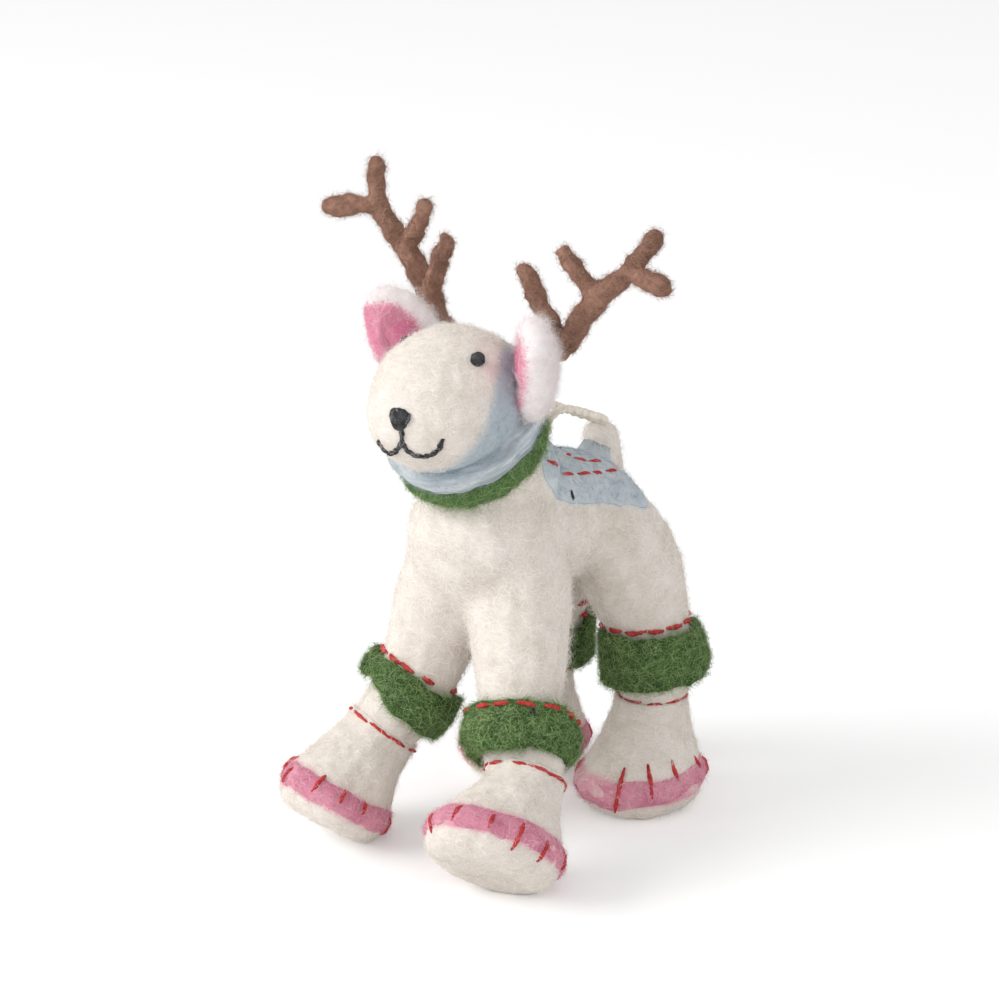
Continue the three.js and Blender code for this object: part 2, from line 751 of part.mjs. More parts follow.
for (const [name, side] of [['left', 1], ['right', -1]]) {
  addPiece(`${name}_eye`, eyeBody(side), blackThread, 0.4);
  const ear = earBody(side).subtract(headBody(gap)).subtract(scarfBody(gap)).subtract(earHollow(side));
  addPiece(`${name}_ear`, ear, whiteWool);
  const lining = earHollow(side, -gap).intersect(earBody(side, -liningSink)).subtract(headBody(gap));
  addPiece(`${name}_ear_lining`, lining, pinkWool);
  const bore = wireBody(side, wireRadius + wirePlay, beamRadius);
  addPiece(`${name}_antler`, antlerBody(side).subtract(bore), brownWool);
  const wire = wireBody(side, wireRadius, beamRadius - wireRadius * 2);
  addPiece(`${name}_antler_wire`, wire, steelGrey, 0.4, 1);
}

for (const [name, leg] of Object.entries(legs)) {
  addLeg(name, leg);
}

addPiece('blanket', blanketBody(), blueWool);
for (const [level, row] of Object.entries(rows)) {
  addPiece(`left_${level}_row`, rowBody(row, 1), redThread);
  addPiece(`right_${level}_row`, rowBody(row, -1), redThread);
}

// The origin lies under the middle of the animal, measured without its loop.
const box = new THREE.Box3().setFromObject(ornament);
const middle = box.getCenter(new THREE.Vector3());
ornament.position.set(-middle.x, -middle.y, -box.min.z);

addPiece('loop_knot', knotBody(), creamTwine);
addPiece('hanging_loop', loopBody(), creamTwine);

export default ornament;
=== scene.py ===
import math

import bmesh
import bpy
import numpy as np
from mathutils import Matrix, Vector, noise
from mathutils.bvhtree import BVHTree
from mathutils.kdtree import KDTree


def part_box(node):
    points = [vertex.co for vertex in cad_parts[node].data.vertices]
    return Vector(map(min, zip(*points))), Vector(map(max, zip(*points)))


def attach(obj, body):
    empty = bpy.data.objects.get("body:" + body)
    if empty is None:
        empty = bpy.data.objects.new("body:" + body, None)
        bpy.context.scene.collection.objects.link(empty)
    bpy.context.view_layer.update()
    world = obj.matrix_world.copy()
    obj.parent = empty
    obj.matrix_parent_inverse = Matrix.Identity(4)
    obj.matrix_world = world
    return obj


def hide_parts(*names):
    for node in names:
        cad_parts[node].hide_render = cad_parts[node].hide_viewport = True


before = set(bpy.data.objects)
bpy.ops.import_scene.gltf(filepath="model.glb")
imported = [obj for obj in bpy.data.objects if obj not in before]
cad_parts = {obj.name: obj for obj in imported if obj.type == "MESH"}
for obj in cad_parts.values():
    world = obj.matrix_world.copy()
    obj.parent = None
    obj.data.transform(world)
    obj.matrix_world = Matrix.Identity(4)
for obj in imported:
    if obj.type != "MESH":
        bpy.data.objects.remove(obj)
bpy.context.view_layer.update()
mm = 0.001


# Camera: the animal is seen from its front left and a little above it, through a long lens.
# A place on the picture can be followed back to the wool that shows there.
view_turn = math.radians(40)
view_rise = math.radians(18)
view_distance = 600 * mm
view_target = Vector((0, 0.0718, 62.5)) * mm
picture_side = 999
picture_pixel = 0.18 * mm
view_away = Vector((
    math.sin(view_turn) * math.cos(view_rise),
    -math.cos(view_turn) * math.cos(view_rise),
    math.sin(view_rise),
))
view_right = Vector((math.cos(view_turn), math.sin(view_turn), 0))
view_up = view_away.cross(view_right)


def placed(name, data):
    """A new object in the scene, at the origin."""
    made = bpy.data.objects.new(name, data)
    bpy.context.scene.collection.objects.link(made)
    return made


camera_data = bpy.data.cameras.new("studio_camera")
camera_data.sensor_width = 36
camera_data.lens = camera_data.sensor_width * view_distance / (picture_side * picture_pixel)
camera = placed("studio_camera", camera_data)
camera.location = view_target + view_away * view_distance
camera.rotation_euler = view_away.to_track_quat("Z", "Y").to_euler()
bpy.context.scene.camera = camera
bpy.context.scene.view_settings.view_transform = "Standard"


def seen_at(skin, x, y):
    """The place on a skin, and the way it faces, that shows at a pixel of the picture."""
    middle = picture_side / 2
    aim = view_target + view_right * (x - middle) * picture_pixel + view_up * (middle - y) * picture_pixel
    place, facing, _, _ = skin.ray_cast(camera.location, (aim - camera.location).normalized())
    return place, facing


def shown_at(place):
    """The pixel of the picture at which a place shows."""
    off = place - camera.location
    scale = view_distance / -off.dot(view_away) / picture_pixel
    return picture_side / 2 + off.dot(view_right) * scale, picture_side / 2 - off.dot(view_up) * scale


# Hanging loop: cream cotton twine of two plies, sewn through the back, so both its ends go into one knot.
# It stands up out of the knot, lies back as a narrow teardrop and leans on the top of the tail.
def paint(red, green, blue):
    """A colour as it is given, in the renderer's own scale."""
    parts = [c / 255 for c in (red, green, blue)]
    return (*[c / 12.92 if c <= 0.04045 else ((c + 0.055) / 1.055) ** 2.4 for c in parts], 1.0)


def feed(tree, node, inputs):
    """Links or sets a node's inputs."""
    for key, value in dict(inputs).items():
        if isinstance(value, bpy.types.NodeSocket):
            tree.links.new(value, node.inputs[key])
        else:
            node.inputs[key].default_value = value


def add_node(tree, kind, inputs=(), **settings):
    """A node with its settings and its inputs."""
    made = tree.nodes.new(kind)
    for key, value in settings.items():
        setattr(made, key, value)
    feed(tree, made, inputs)
    return made


def figure(tree, operation, *values):
    """The outcome of one step of arithmetic."""
    return add_node(tree, "ShaderNodeMath", enumerate(values), operation=operation).outputs[0]


def ranged(tree, value, start, end, low=0.0, high=1.0, **settings):
    """How far a value is on its way from start to end, as a number from low to high."""
    inputs = {"Value": value, "From Min": start, "From Max": end, "To Min": low, "To Max": high}
    return add_node(tree, "ShaderNodeMapRange", inputs, **settings).outputs[0]


def blend(tree, share, first, second, way="MIX"):
    """A share of the second colour over the first."""
    inputs = {0: share, 6: first, 7: second}
    return add_node(tree, "ShaderNodeMix", inputs, data_type="RGBA", blend_type=way).outputs[2]


def flecks(tree, place, scale, detail=2.0, roughness=0.5, distortion=0.0):
    """Random marks all over a piece, finer as the scale goes up."""
    inputs = {"Vector": place, "Scale": scale, "Detail": detail, "Roughness": roughness, "Distortion": distortion}
    return add_node(tree, "ShaderNodeTexNoise", inputs).outputs["Fac"]


def new_material(name):
    """A material, its nodes and its shader."""
    material = bpy.data.materials.new(name)
    material.use_nodes = True
    return material, material.node_tree, material.node_tree.nodes["Principled BSDF"]


def spun_thread(name, light, dark, strand, sheen, shine):
    """Thread or twine: fine hairs along it, with painted shade darkening it between the plies."""
    material, tree, shader = new_material(name)
    place = add_node(tree, "ShaderNodeTexCoord").outputs["Object"]
    hairs = flecks(tree, place, strand, detail=3.0, distortion=0.8)
    patches = flecks(tree, place, strand / 5)
    # Painted shade: the colour goes dark where the hair noise is low, in the hollows of the bump.
    ramp = ranged(tree, figure(tree, "MULTIPLY", hairs, patches), 0.14, 0.38)
    feed(tree, shader, {
        "Base Color": blend(tree, ramp, dark, light),
        "Roughness": ranged(tree, hairs, 0.0, 1.0, 0.55, 0.85),
        "Normal": add_node(tree, "ShaderNodeBump", {"Height": hairs, "Strength": 0.5, "Distance": 0.0001}).outputs[0],
        "Specular IOR Level": shine,
        "Sheen Weight": sheen,
        "Sheen Tint": light,
    })
    return material


def smooth_line(points, steps):
    """Points along a smooth line through the given ones."""
    p = np.array(points, float)
    line = []
    for i in range(len(p) - 1):
        a, b, c, d = p[[min(max(i + k, 0), len(p) - 1) for k in (-1, 0, 1, 2)]]
        for t in np.arange(steps) / steps:
            line.append(
                0.5 * (2 * b + (c - a) * t + (2 * a - 5 * b + 4 * c - d) * t**2 + (3 * b - a - 3 * c + d) * t**3)
            )
    return [Vector(q) for q in (*line, p[-1])]


def twisted_twine(name, line, radius, pitch, closed=False, sides=10, plies=2):
    """A twine along a line: its outline has a lobe for each ply, and turns as it goes."""
    mesh = bpy.data.meshes.new(name)
    work = bmesh.new()
    side = (line[1] - line[0]).orthogonal().normalized()
    gone = 0.0
    rows = []
    for i, middle in enumerate(line):
        last = line[i - 1] if i or closed else middle
        following = line[(i + 1) % len(line)] if i + 1 < len(line) or closed else middle
        ahead = (following - last).normalized()
        side = (side - ahead * side.dot(ahead)).normalized()
        across = ahead.cross(side)
        gone += (middle - last).length if i else 0
        row = []
        for k in range(sides):
            angle = math.tau * k / sides
            lobe = radius * (0.87 + 0.13 * math.cos(plies * (angle - math.tau * gone / pitch)))
            row.append(work.verts.new(middle + (side * math.cos(angle) + across * math.sin(angle)) * lobe))
        rows.append(row)
    for i in range(len(rows) if closed else len(rows) - 1):
        row, after = rows[i], rows[(i + 1) % len(rows)]
        for k in range(sides):
            work.faces.new((row[k], row[(k + 1) % sides], after[(k + 1) % sides], after[k]))
    if not closed:
        work.faces.new(rows[0][::-1])
        work.faces.new(rows[-1])
    bmesh.ops.recalc_face_normals(work, faces=work.faces)
    for face in work.faces:
        face.smooth = True
    work.to_mesh(mesh)
    work.free()
    return placed(name, mesh)


stand_shift = Vector((-0.00169, -3.22518, 0)) * mm
twine_radius = 0.85 * mm
twine_pitch = 3.4 * mm
loop_route = [
    (0.0006, 0.0164, 0.0743), (0.0009, 0.0172, 0.0753), (0.0014, 0.0184, 0.076), (0.0019, 0.0199, 0.0761),
    (0.0025, 0.0217, 0.0756), (0.0031, 0.0237, 0.0748), (0.0035, 0.0257, 0.0739), (0.0036, 0.0276, 0.0731),
    (0.0032, 0.0294, 0.0722), (0.0021, 0.0307, 0.0716), (0.0007, 0.0313, 0.0713), (-0.0007, 0.0313, 0.0713),
    (-0.0021, 0.0307, 0.0716), (-0.0032, 0.0294, 0.0722), (-0.0036, 0.0276, 0.0731), (-0.0035, 0.0257, 0.0739),
    (-0.0031, 0.0237, 0.0748), (-0.0025, 0.0217, 0.0756), (-0.0019, 0.0199, 0.0761), (-0.0014, 0.0184, 0.076),
    (-0.0009, 0.0172, 0.0753), (-0.0006, 0.0164, 0.0743),
]
loop_line = smooth_line([Vector(p) + stand_shift for p in loop_route], 9)
twine_look = spun_thread(
    "cream_twine", paint(248, 241, 230), paint(220, 206, 186), strand=2600.0, sheen=0.3, shine=0.2
)
twine_loop = twisted_twine("twine_loop", loop_line, twine_radius, twine_pitch)
twine_loop.data.materials.append(twine_look)
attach(twine_loop, "loop")
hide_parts("hanging_loop")

knot_low, knot_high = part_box("loop_knot")
knot_middle = (knot_low + knot_high) / 2
knot_radius = 0.62 * mm
knot_pitch = 2.6 * mm
knot_turns = np.linspace(0, math.tau, 60, endpoint=False)
knot_line = [
    knot_middle + Vector((
        0.5 * (math.sin(t) + 2 * math.sin(2 * t)),
        0.5 * (math.cos(t) - 2 * math.cos(2 * t)),
        -0.75 * math.sin(3 * t) + 0.2,
    )) * mm
    for t in knot_turns
]
twine_knot = twisted_twine("twine_knot", knot_line, knot_radius, knot_pitch, closed=True, sides=8)
twine_knot.data.materials.append(twine_look)
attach(twine_knot, "animal")
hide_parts("loop_knot")


# Body: white wool needled into one firm shape, with the neck stump, four legs and a stub of a tail felted on.
# Its skin is matted fibre, a little uneven, with loose hairs and a few tan hairs from the fleece.
def joined_copy(name, nodes, grow=0.0, ends=(), end_width=9 * mm, end_back=1 * mm, end_reach=2.6 * mm):
    """One object from welded copies of CAD solids, grown a little so that they meet.

    At each of the ends, a place and the way it points, a limb is drawn out and in.
    """
    work = bmesh.new()
    for node in nodes:
        part = bmesh.new()
        part.from_mesh(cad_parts[node].data)
        bmesh.ops.remove_doubles(part, verts=part.verts, dist=1e-7)
        part.normal_update()
        moves = [v.normal * grow for v in part.verts]
        for v, move in zip(part.verts, moves):
            v.co += move
        for place, way in ends:
            for v in part.verts:
                if (v.co - place).length < end_width and -end_back < (v.co - place).dot(way):
                    v.co += way * end_reach + (place - v.co) * 0.12
        held = bpy.data.meshes.new("held")
        part.to_mesh(held)
        part.free()
        work.from_mesh(held)
        bpy.data.meshes.remove(held)
    mesh = bpy.data.meshes.new(name)
    work.to_mesh(mesh)
    work.free()
    return placed(name, mesh)


def plain_mesh(piece):
    """Puts a piece's modifiers into its mesh."""
    dg = bpy.context.evaluated_depsgraph_get()
    dg.update()
    mesh = bpy.data.meshes.new_from_object(piece.evaluated_get(dg), preserve_all_data_layers=True, depsgraph=dg)
    piece.modifiers.clear()
    worn = piece.data
    piece.data = mesh
    bpy.data.meshes.remove(worn)
    mesh.name = piece.name


def move_points(piece, places):
    """Puts the points of a piece at new places."""
    piece.data.vertices.foreach_set("co", np.array(places, np.float32).ravel())
    piece.data.update()


def needle(piece, stitch, passes, lumps, seed):
    """Felts a shape: one even skin, softened, then left lumpy as hand work is. Lumps are (size, height) pairs."""
    skin = piece.modifiers.new("skin", "REMESH")
    skin.mode = "VOXEL"
    skin.voxel_size = stitch
    skin.use_smooth_shade = True
    soften = piece.modifiers.new("soften", "SMOOTH")
    soften.factor = 0.5
    soften.iterations = passes
    plain_mesh(piece)
    shift = Vector((seed, seed * 0.7, -seed))
    places = []
    for v in piece.data.vertices:
        height = sum(noise.noise(v.co / size + shift) * rise for size, rise in lumps)
        places.append(v.co + v.normal * height)
    move_points(piece, places)


def ease(piece, place, reaches, passes):
    """Smooths the skin round a place, most of all close to it."""
    work = bmesh.new()
    work.from_mesh(piece.data)
    for reach in reaches:
        close = [v for v in work.verts if (v.co - place).length < reach]
        for _ in range(passes):
            bmesh.ops.smooth_vert(work, verts=close, factor=0.5, use_axis_x=True, use_axis_y=True, use_axis_z=True)
    work.to_mesh(piece.data)
    work.free()


def note(piece, name, values):
    """Keeps one number for each point of a piece."""
    kept = piece.data.attributes.get(name) or piece.data.attributes.new(name, "FLOAT", "POINT")
    kept.data.foreach_set("value", np.array(values, np.float32))


def skin_of(mesh):
    """A mesh to be searched for its nearest place or for what a line meets."""
    return BVHTree.FromPolygons([v.co for v in mesh.vertices], [tuple(f.vertices) for f in mesh.polygons])


def nearness(piece, skins, reach):
    """For each point of a piece, 1 on the skins and 0 from the reach on."""
    found = []
    for v in piece.data.vertices:
        gaps = [skin.find_nearest(v.co, reach)[3] for skin in skins]
        gaps = [gap for gap in gaps if gap is not None]
        found.append(1 - min(gaps) / reach if gaps else 0.0)
    return np.array(found)


def triple(tree, x=0.0, y=0.0, z=0.0):
    """Three numbers as one place, way or colour."""
    return add_node(tree, "ShaderNodeCombineXYZ", {0: x, 1: y, 2: z}).outputs[0]


def dimmed(tree, colour, depth):
    """A colour made as dark as a number says."""
    return blend(tree, 1.0, colour, triple(tree, depth, depth, depth), "MULTIPLY")


def wool_felt(name, light, shade, tints=(), fibre=2600.0, depth=0.00012, deeps=0.92, lay=None, specks=None):
    """Needled wool: clouds of thick and thin wool, matted fibres lying all ways, soft sheen.

    Tints are blended in by a noted number. The deeps are how dark the hollows between fibres are painted: painted
    shade that follows the bump.
    """
    material, tree, shader = new_material(name)
    place = add_node(tree, "ShaderNodeTexCoord").outputs["Object"]
    if lay is None:
        ways = [((0.3, 0.5, 0.2), place), ((1.4, 0.2, 1.1), place), ((0.6, 1.5, 2.3), place)]
        stretch = (0.2, 1.0, 1.0)
        cloud = flecks(tree, place, 190.0, detail=4.0, roughness=0.6)
    else:
        along = add_node(tree, "ShaderNodeAttribute", attribute_name=lay).outputs["Vector"]
        ways = [((0.0, 0.0, 0.0), along), ((0.2, 0.1, 0.4), along)]
        stretch = (1.0, 1.0, 1.0)
        cloud = flecks(tree, along, 430.0, detail=4.0, roughness=0.6)
    matted = None
    for turn, source in ways:
        laid = add_node(tree, "ShaderNodeMapping", {"Vector": source, "Rotation": turn, "Scale": stretch})
        hairs = flecks(tree, laid.outputs[0], fibre, detail=2.5, distortion=0.7)
        matted = hairs if matted is None else figure(tree, "MAXIMUM", matted, hairs)
    colour = blend(tree, ranged(tree, cloud, 0.32, 0.62), shade, light)
    if specks is not None:
        scatter = flecks(tree, place, 85.0, detail=5.0, roughness=0.7)
        colour = blend(tree, ranged(tree, scatter, 0.66, 0.82, 0.0, 0.5), colour, specks)
    frayed = ranged(tree, matted, 0.45, 0.75, -0.25, 0.25)
    for label, tint in tints:
        much = add_node(tree, "ShaderNodeAttribute", attribute_name=label).outputs["Fac"]
        share = ranged(tree, figure(tree, "ADD", much, frayed), 0.15, 0.85, interpolation_type="SMOOTHSTEP")
        colour = blend(tree, share, colour, tint)
    # Painted shade: the colour is darkened in the hollows of the matted fibres, where the bump dips, and lifted a
    # little on their tops.
    feed(tree, shader, {
        "Base Color": dimmed(tree, colour, ranged(tree, matted, 0.42, 0.72, deeps, 1.03)),
        "Roughness": ranged(tree, matted, 0.0, 1.0, 0.8, 1.0),
        "Normal": add_node(tree, "ShaderNodeBump", {"Height": matted, "Strength": 0.6, "Distance": depth}).outputs[0],
        "Specular IOR Level": 0.15,
        "Sheen Weight": 0.15,
        "Sheen Roughness": 0.45,
        "Sheen Tint": light,
    })
    return material


def loose_wool(name, light, dark):
    """Single wool hairs: each has its own tone, read across its map, and painted shade darkens it towards its root.
    """
    material, tree, shader = new_material(name)
    hair_map = add_node(tree, "ShaderNodeUVMap", uv_map="OFBake").outputs[0]
    own, along, _ = add_node(tree, "ShaderNodeSeparateXYZ", {0: hair_map}).outputs
    # Painted shade: each hair is darker towards its root, where it goes down into the felt.
    feed(tree, shader, {
        "Base Color": dimmed(tree, blend(tree, own, dark, light), ranged(tree, along, 0.0, 0.4, 0.9, 1.0)),
        "Roughness": 0.9,
        "Specular IOR Level": 0.1,
    })
    return material


def new_rule(name, asks, answer):
    """A tree of geometry nodes with its named inputs and its one output."""
    tree = bpy.data.node_groups.new(name, "GeometryNodeTree")
    for label, kind in asks.items():
        tree.interface.new_socket(label, in_out="INPUT", socket_type="NodeSocket" + kind)
    tree.interface.new_socket(answer, in_out="OUTPUT", socket_type="NodeSocketGeometry")
    return tree, add_node(tree, "NodeGroupInput").outputs


def end_rule(tree, shape, look, smooth):
    """The last nodes of a tree: single solid pieces with their material."""
    shape = add_node(tree, "GeometryNodeSetShadeSmooth", {"Geometry": shape, "Shade Smooth": smooth}).outputs[0]
    shape = add_node(tree, "GeometryNodeSetMaterial", {"Geometry": shape, "Material": look}).outputs[0]
    tree.links.new(shape, add_node(tree, "NodeGroupOutput").inputs[0])


def noted(tree, name, kind="FLOAT"):
    """What is noted under a name on the shape at hand."""
    return add_node(tree, "GeometryNodeInputNamedAttribute", {"Name": name}, data_type=kind).outputs[0]


def with_note(tree, shape, name, value, kind="FLOAT", domain="POINT"):
    """A shape with a value noted under a name."""
    inputs = {"Geometry": shape, "Name": name, "Value": value}
    return add_node(tree, "GeometryNodeStoreNamedAttribute", inputs, data_type=kind, domain=domain).outputs[0]


def any_from(tree, low, high, seed):
    """A random number between two others, drawn for each hair."""
    return add_node(tree, "FunctionNodeRandomValue", {2: low, 3: high, 8: seed}, data_type="FLOAT").outputs[1]


def fleece_rule():
    """Nodes that scatter loose, bent, tapering hairs over a skin, as thick as its noted fleece says."""
    tree, given = new_rule(
        "loose_fleece",
        {
            "Skin": "Geometry", "Hairs per square metre": "Float", "Length": "Float", "Radius": "Float",
            "Lean": "Float", "Curl": "Float", "Joints": "Int", "Seed": "Int", "Wool": "Material",
        },
        "Fleece",
    )
    long, thick = given["Length"], given["Radius"]
    dense = figure(tree, "MULTIPLY", given["Hairs per square metre"], noted(tree, "fleece"))
    roots = add_node(
        tree, "GeometryNodeDistributePointsOnFaces",
        {"Mesh": given["Skin"], "Density": dense, "Seed": given["Seed"]},
    ).outputs
    kinds = add_node(tree, "GeometryNodeJoinGeometry")
    for curl_share, sway in ((0.25, 0.22), (0.7, -0.3), (1.25, 0.12)):
        hair = add_node(
            tree, "GeometryNodeMeshCone",
            {
                "Vertices": 3, "Side Segments": given["Joints"], "Radius Top": 0.0, "Radius Bottom": thick,
                "Depth": long,
            },
        ).outputs["Mesh"]
        spot = add_node(tree, "GeometryNodeInputPosition").outputs[0]
        x, _, z = add_node(tree, "ShaderNodeSeparateXYZ", {0: spot}).outputs
        along, beside = figure(tree, "DIVIDE", z, long), figure(tree, "DIVIDE", x, thick)
        hair = with_note(tree, hair, "along", along)
        hair = with_note(tree, hair, "beside", beside)
        bent = figure(tree, "MULTIPLY", figure(tree, "MULTIPLY", along, along), given["Curl"])
        bent = figure(tree, "MULTIPLY", figure(tree, "MULTIPLY", bent, long), curl_share)
        wave = figure(tree, "SINE", figure(tree, "MULTIPLY", along, 4.0))
        wave = figure(tree, "MULTIPLY", figure(tree, "MULTIPLY", wave, long), sway)
        move = triple(tree, bent, wave)
        hair = add_node(tree, "GeometryNodeSetPosition", {"Geometry": hair, "Offset": move}).outputs[0]
        one = add_node(tree, "GeometryNodeGeometryToInstance", {0: hair}).outputs[0]
        tree.links.new(one, kinds.inputs[0])
    least, most = [figure(tree, "MULTIPLY", given["Lean"], share) for share in (0.55, 1.2)]
    spin = any_from(tree, 0.0, math.tau, 11)
    lean = any_from(tree, least, most, 12)
    size = any_from(tree, 0.55, 1.3, 13)
    which = add_node(tree, "FunctionNodeRandomValue", {4: 0, 5: 2, 8: 14}, data_type="INT").outputs[2]
    shade = any_from(tree, 0.05, 0.95, 15)
    way = roots["Rotation"]
    for angles in (triple(tree, z=spin), triple(tree, y=lean)):
        turn = add_node(tree, "FunctionNodeEulerToRotation", {0: angles}).outputs[0]
        way = add_node(tree, "FunctionNodeRotateRotation", {0: way, 1: turn}, rotation_space="LOCAL").outputs[0]
    hairs = add_node(
        tree, "GeometryNodeInstanceOnPoints",
        {
            "Points": roots["Points"], "Instance": kinds.outputs[0], "Pick Instance": True,
            "Instance Index": which, "Rotation": way, "Scale": size,
        },
    ).outputs[0]
    hairs = with_note(tree, hairs, "shade", shade, domain="INSTANCE")
    hairs = add_node(tree, "GeometryNodeRealizeInstances", {"Geometry": hairs}).outputs[0]
    across = figure(tree, "MULTIPLY_ADD", noted(tree, "beside"), 0.02, noted(tree, "shade"))
    hairs = with_note(tree, hairs, "OFBake", triple(tree, across, noted(tree, "along")), "FLOAT2", "CORNER")
    end_rule(tree, hairs, given["Wool"], smooth=False)
    return tree


fleece_nodes = fleece_rule()


def by_rule(name, piece, tree, values):
    """A new piece with what a tree of nodes makes of another piece's mesh."""
    made = placed(name, piece.data.copy())
    rule = made.modifiers.new("rule", "NODES")
    rule.node_group = tree
    sockets = {s.name: s.identifier for s in tree.interface.items_tree if s.in_out == "INPUT"}
    for label, value in values.items():
        rule[sockets[label]] = value
    plain_mesh(made)
    for spare in ("along", "beside", "shade", "fleece"):
        if spare in made.data.attributes:
            made.data.attributes.remove(made.data.attributes[spare])
    return made


def grow_fleece(
    piece, wool, slot, seed, per_mm2, length, radius, lean, curl=0.9, joints=2, body="animal", kind="fleece"
):
    """Loose hairs on a piece, which go where it goes."""
    if "fleece" not in piece.data.attributes:
        note(piece, "fleece", np.ones(len(piece.data.vertices)))
    made = by_rule(
        f"{piece.name}_{kind}", piece, fleece_nodes,
        {
            "Hairs per square metre": per_mm2 * 1e6, "Length": length, "Radius": radius,
            "Lean": math.radians(lean), "Curl": curl, "Joints": joints, "Seed": seed, "Wool": wool,
        },
    )
    made.visible_shadow = slot != "white_wool"
    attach(made, body)


legs = ("front_left", "front_right", "rear_left", "rear_right")
white_light, white_shade, tan_hair = paint(236, 228, 220), paint(220, 210, 199), paint(200, 178, 152)
white_hair = loose_wool("white_hairs", paint(255, 253, 250), paint(238, 231, 223))
blue_light, blue_shade = paint(210, 217, 221), paint(182, 193, 200)
green_light, green_shade = paint(92, 126, 76), paint(58, 88, 52)
body_look = wool_felt(
    "white_felt", white_light, white_shade, [("blue", blue_light), ("green", green_light)], 2000.0,
    deeps=0.87, specks=tan_hair,
)


def ring_plane(node):
    """The middle of a CAD ring and the way its axis points, downwards."""
    places = np.array([v.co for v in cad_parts[node].data.vertices])
    middle = places.mean(0)
    axis = np.linalg.svd(places - middle, full_matrices=False)[2][2]
    axis = axis if axis[2] < 0 else -axis
    return Vector(middle), Vector(axis)


ankle_planes = {leg: ring_plane(leg + "_ankle_thread") for leg in legs}
seam_overlap = 0.22 * mm
leg_end_rise = 0.9 * mm
chest_fork = Vector((0, -9.5, 47)) * mm
bare_edge = 1.2 * mm
tail_plump = 0.7 * mm
collar_stain = 2 * mm
tail_reach = 1 * mm
blanket_reach = 3 * mm
stain_grain = 2.5 * mm
body = joined_copy(
    "white_body", ["torso", "tail", *[leg + "_leg" for leg in legs]], seam_overlap,
    [(middle - way * leg_end_rise, way) for middle, way in ankle_planes.values()],
)
needle(body, stitch=0.5 * mm, passes=9, lumps=[(9 * mm, 0.45 * mm), (2.2 * mm, 0.2 * mm)], seed=3.1)
ease(body, chest_fork, reaches=[13 * mm, 10 * mm, 7 * mm], passes=25)
body.data.materials.append(body_look)
covers = ["blanket", "collar", "scarf", "head"] + [f"{leg}_{piece}" for leg in legs for piece in ("cuff", "boot")]
under = nearness(body, [skin_of(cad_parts[node].data) for node in covers], bare_edge)
fleece = np.where(under > 0, 0.0, 1.0)
tail_close = nearness(body, [skin_of(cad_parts["tail"].data)], tail_reach)
by_blanket = nearness(body, [skin_of(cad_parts["blanket"].data)], blanket_reach)
plump = tail_close * (1 - by_blanket)
move_points(body, [v.co + v.normal * tail_plump * w for v, w in zip(body.data.vertices, plump)])
ragged = np.array([0.85 + 0.45 * noise.noise(v.co / stain_grain) for v in body.data.vertices])
by_collar = nearness(body, [skin_of(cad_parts["collar"].data)], collar_stain)
note(body, "green", np.clip(by_collar * ragged, 0, 1))
fleece *= np.clip(1 - by_collar * 1.2, 0, 1)
note(body, "fleece", fleece)
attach(body, "animal")
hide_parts("torso", "tail", *[leg + "_leg" for leg in legs])
grow_fleece(body, white_hair, "white_wool", seed=21, per_mm2=2.4, length=2.5 * mm, radius=0.05 * mm, lean=78)
grow_fleece(
    body, white_hair, "white_wool", seed=22, per_mm2=1.1,
    length=2.6 * mm, radius=0.024 * mm, lean=48, kind="stray_hairs",
)
body_skin = skin_of(body.data)


# Boots: a white felt foot with a wide round toe, sewn to the leg with red thread that pulls it in at the ankle.
# The toe and sole meet in a pink felt welt, laid into the boot and whipped over with red thread.
pink_light, pink_shade = paint(230, 160, 178), paint(204, 120, 146)
boot_look = wool_felt(
    "boot_felt", white_light, white_shade, [("pink", pink_light), ("tan", tan_hair)], 2000.0, deeps=0.87,
    specks=tan_hair,
)
welt_look = wool_felt("pink_welt_felt", pink_light, pink_shade, fibre=2000.0, deeps=0.82)
pink_hair = loose_wool("pink_hairs", paint(252, 222, 229), paint(206, 118, 146))
red_look = spun_thread("red_floss", paint(224, 78, 72), paint(172, 40, 46), strand=3400.0, sheen=0.15, shine=0.3)


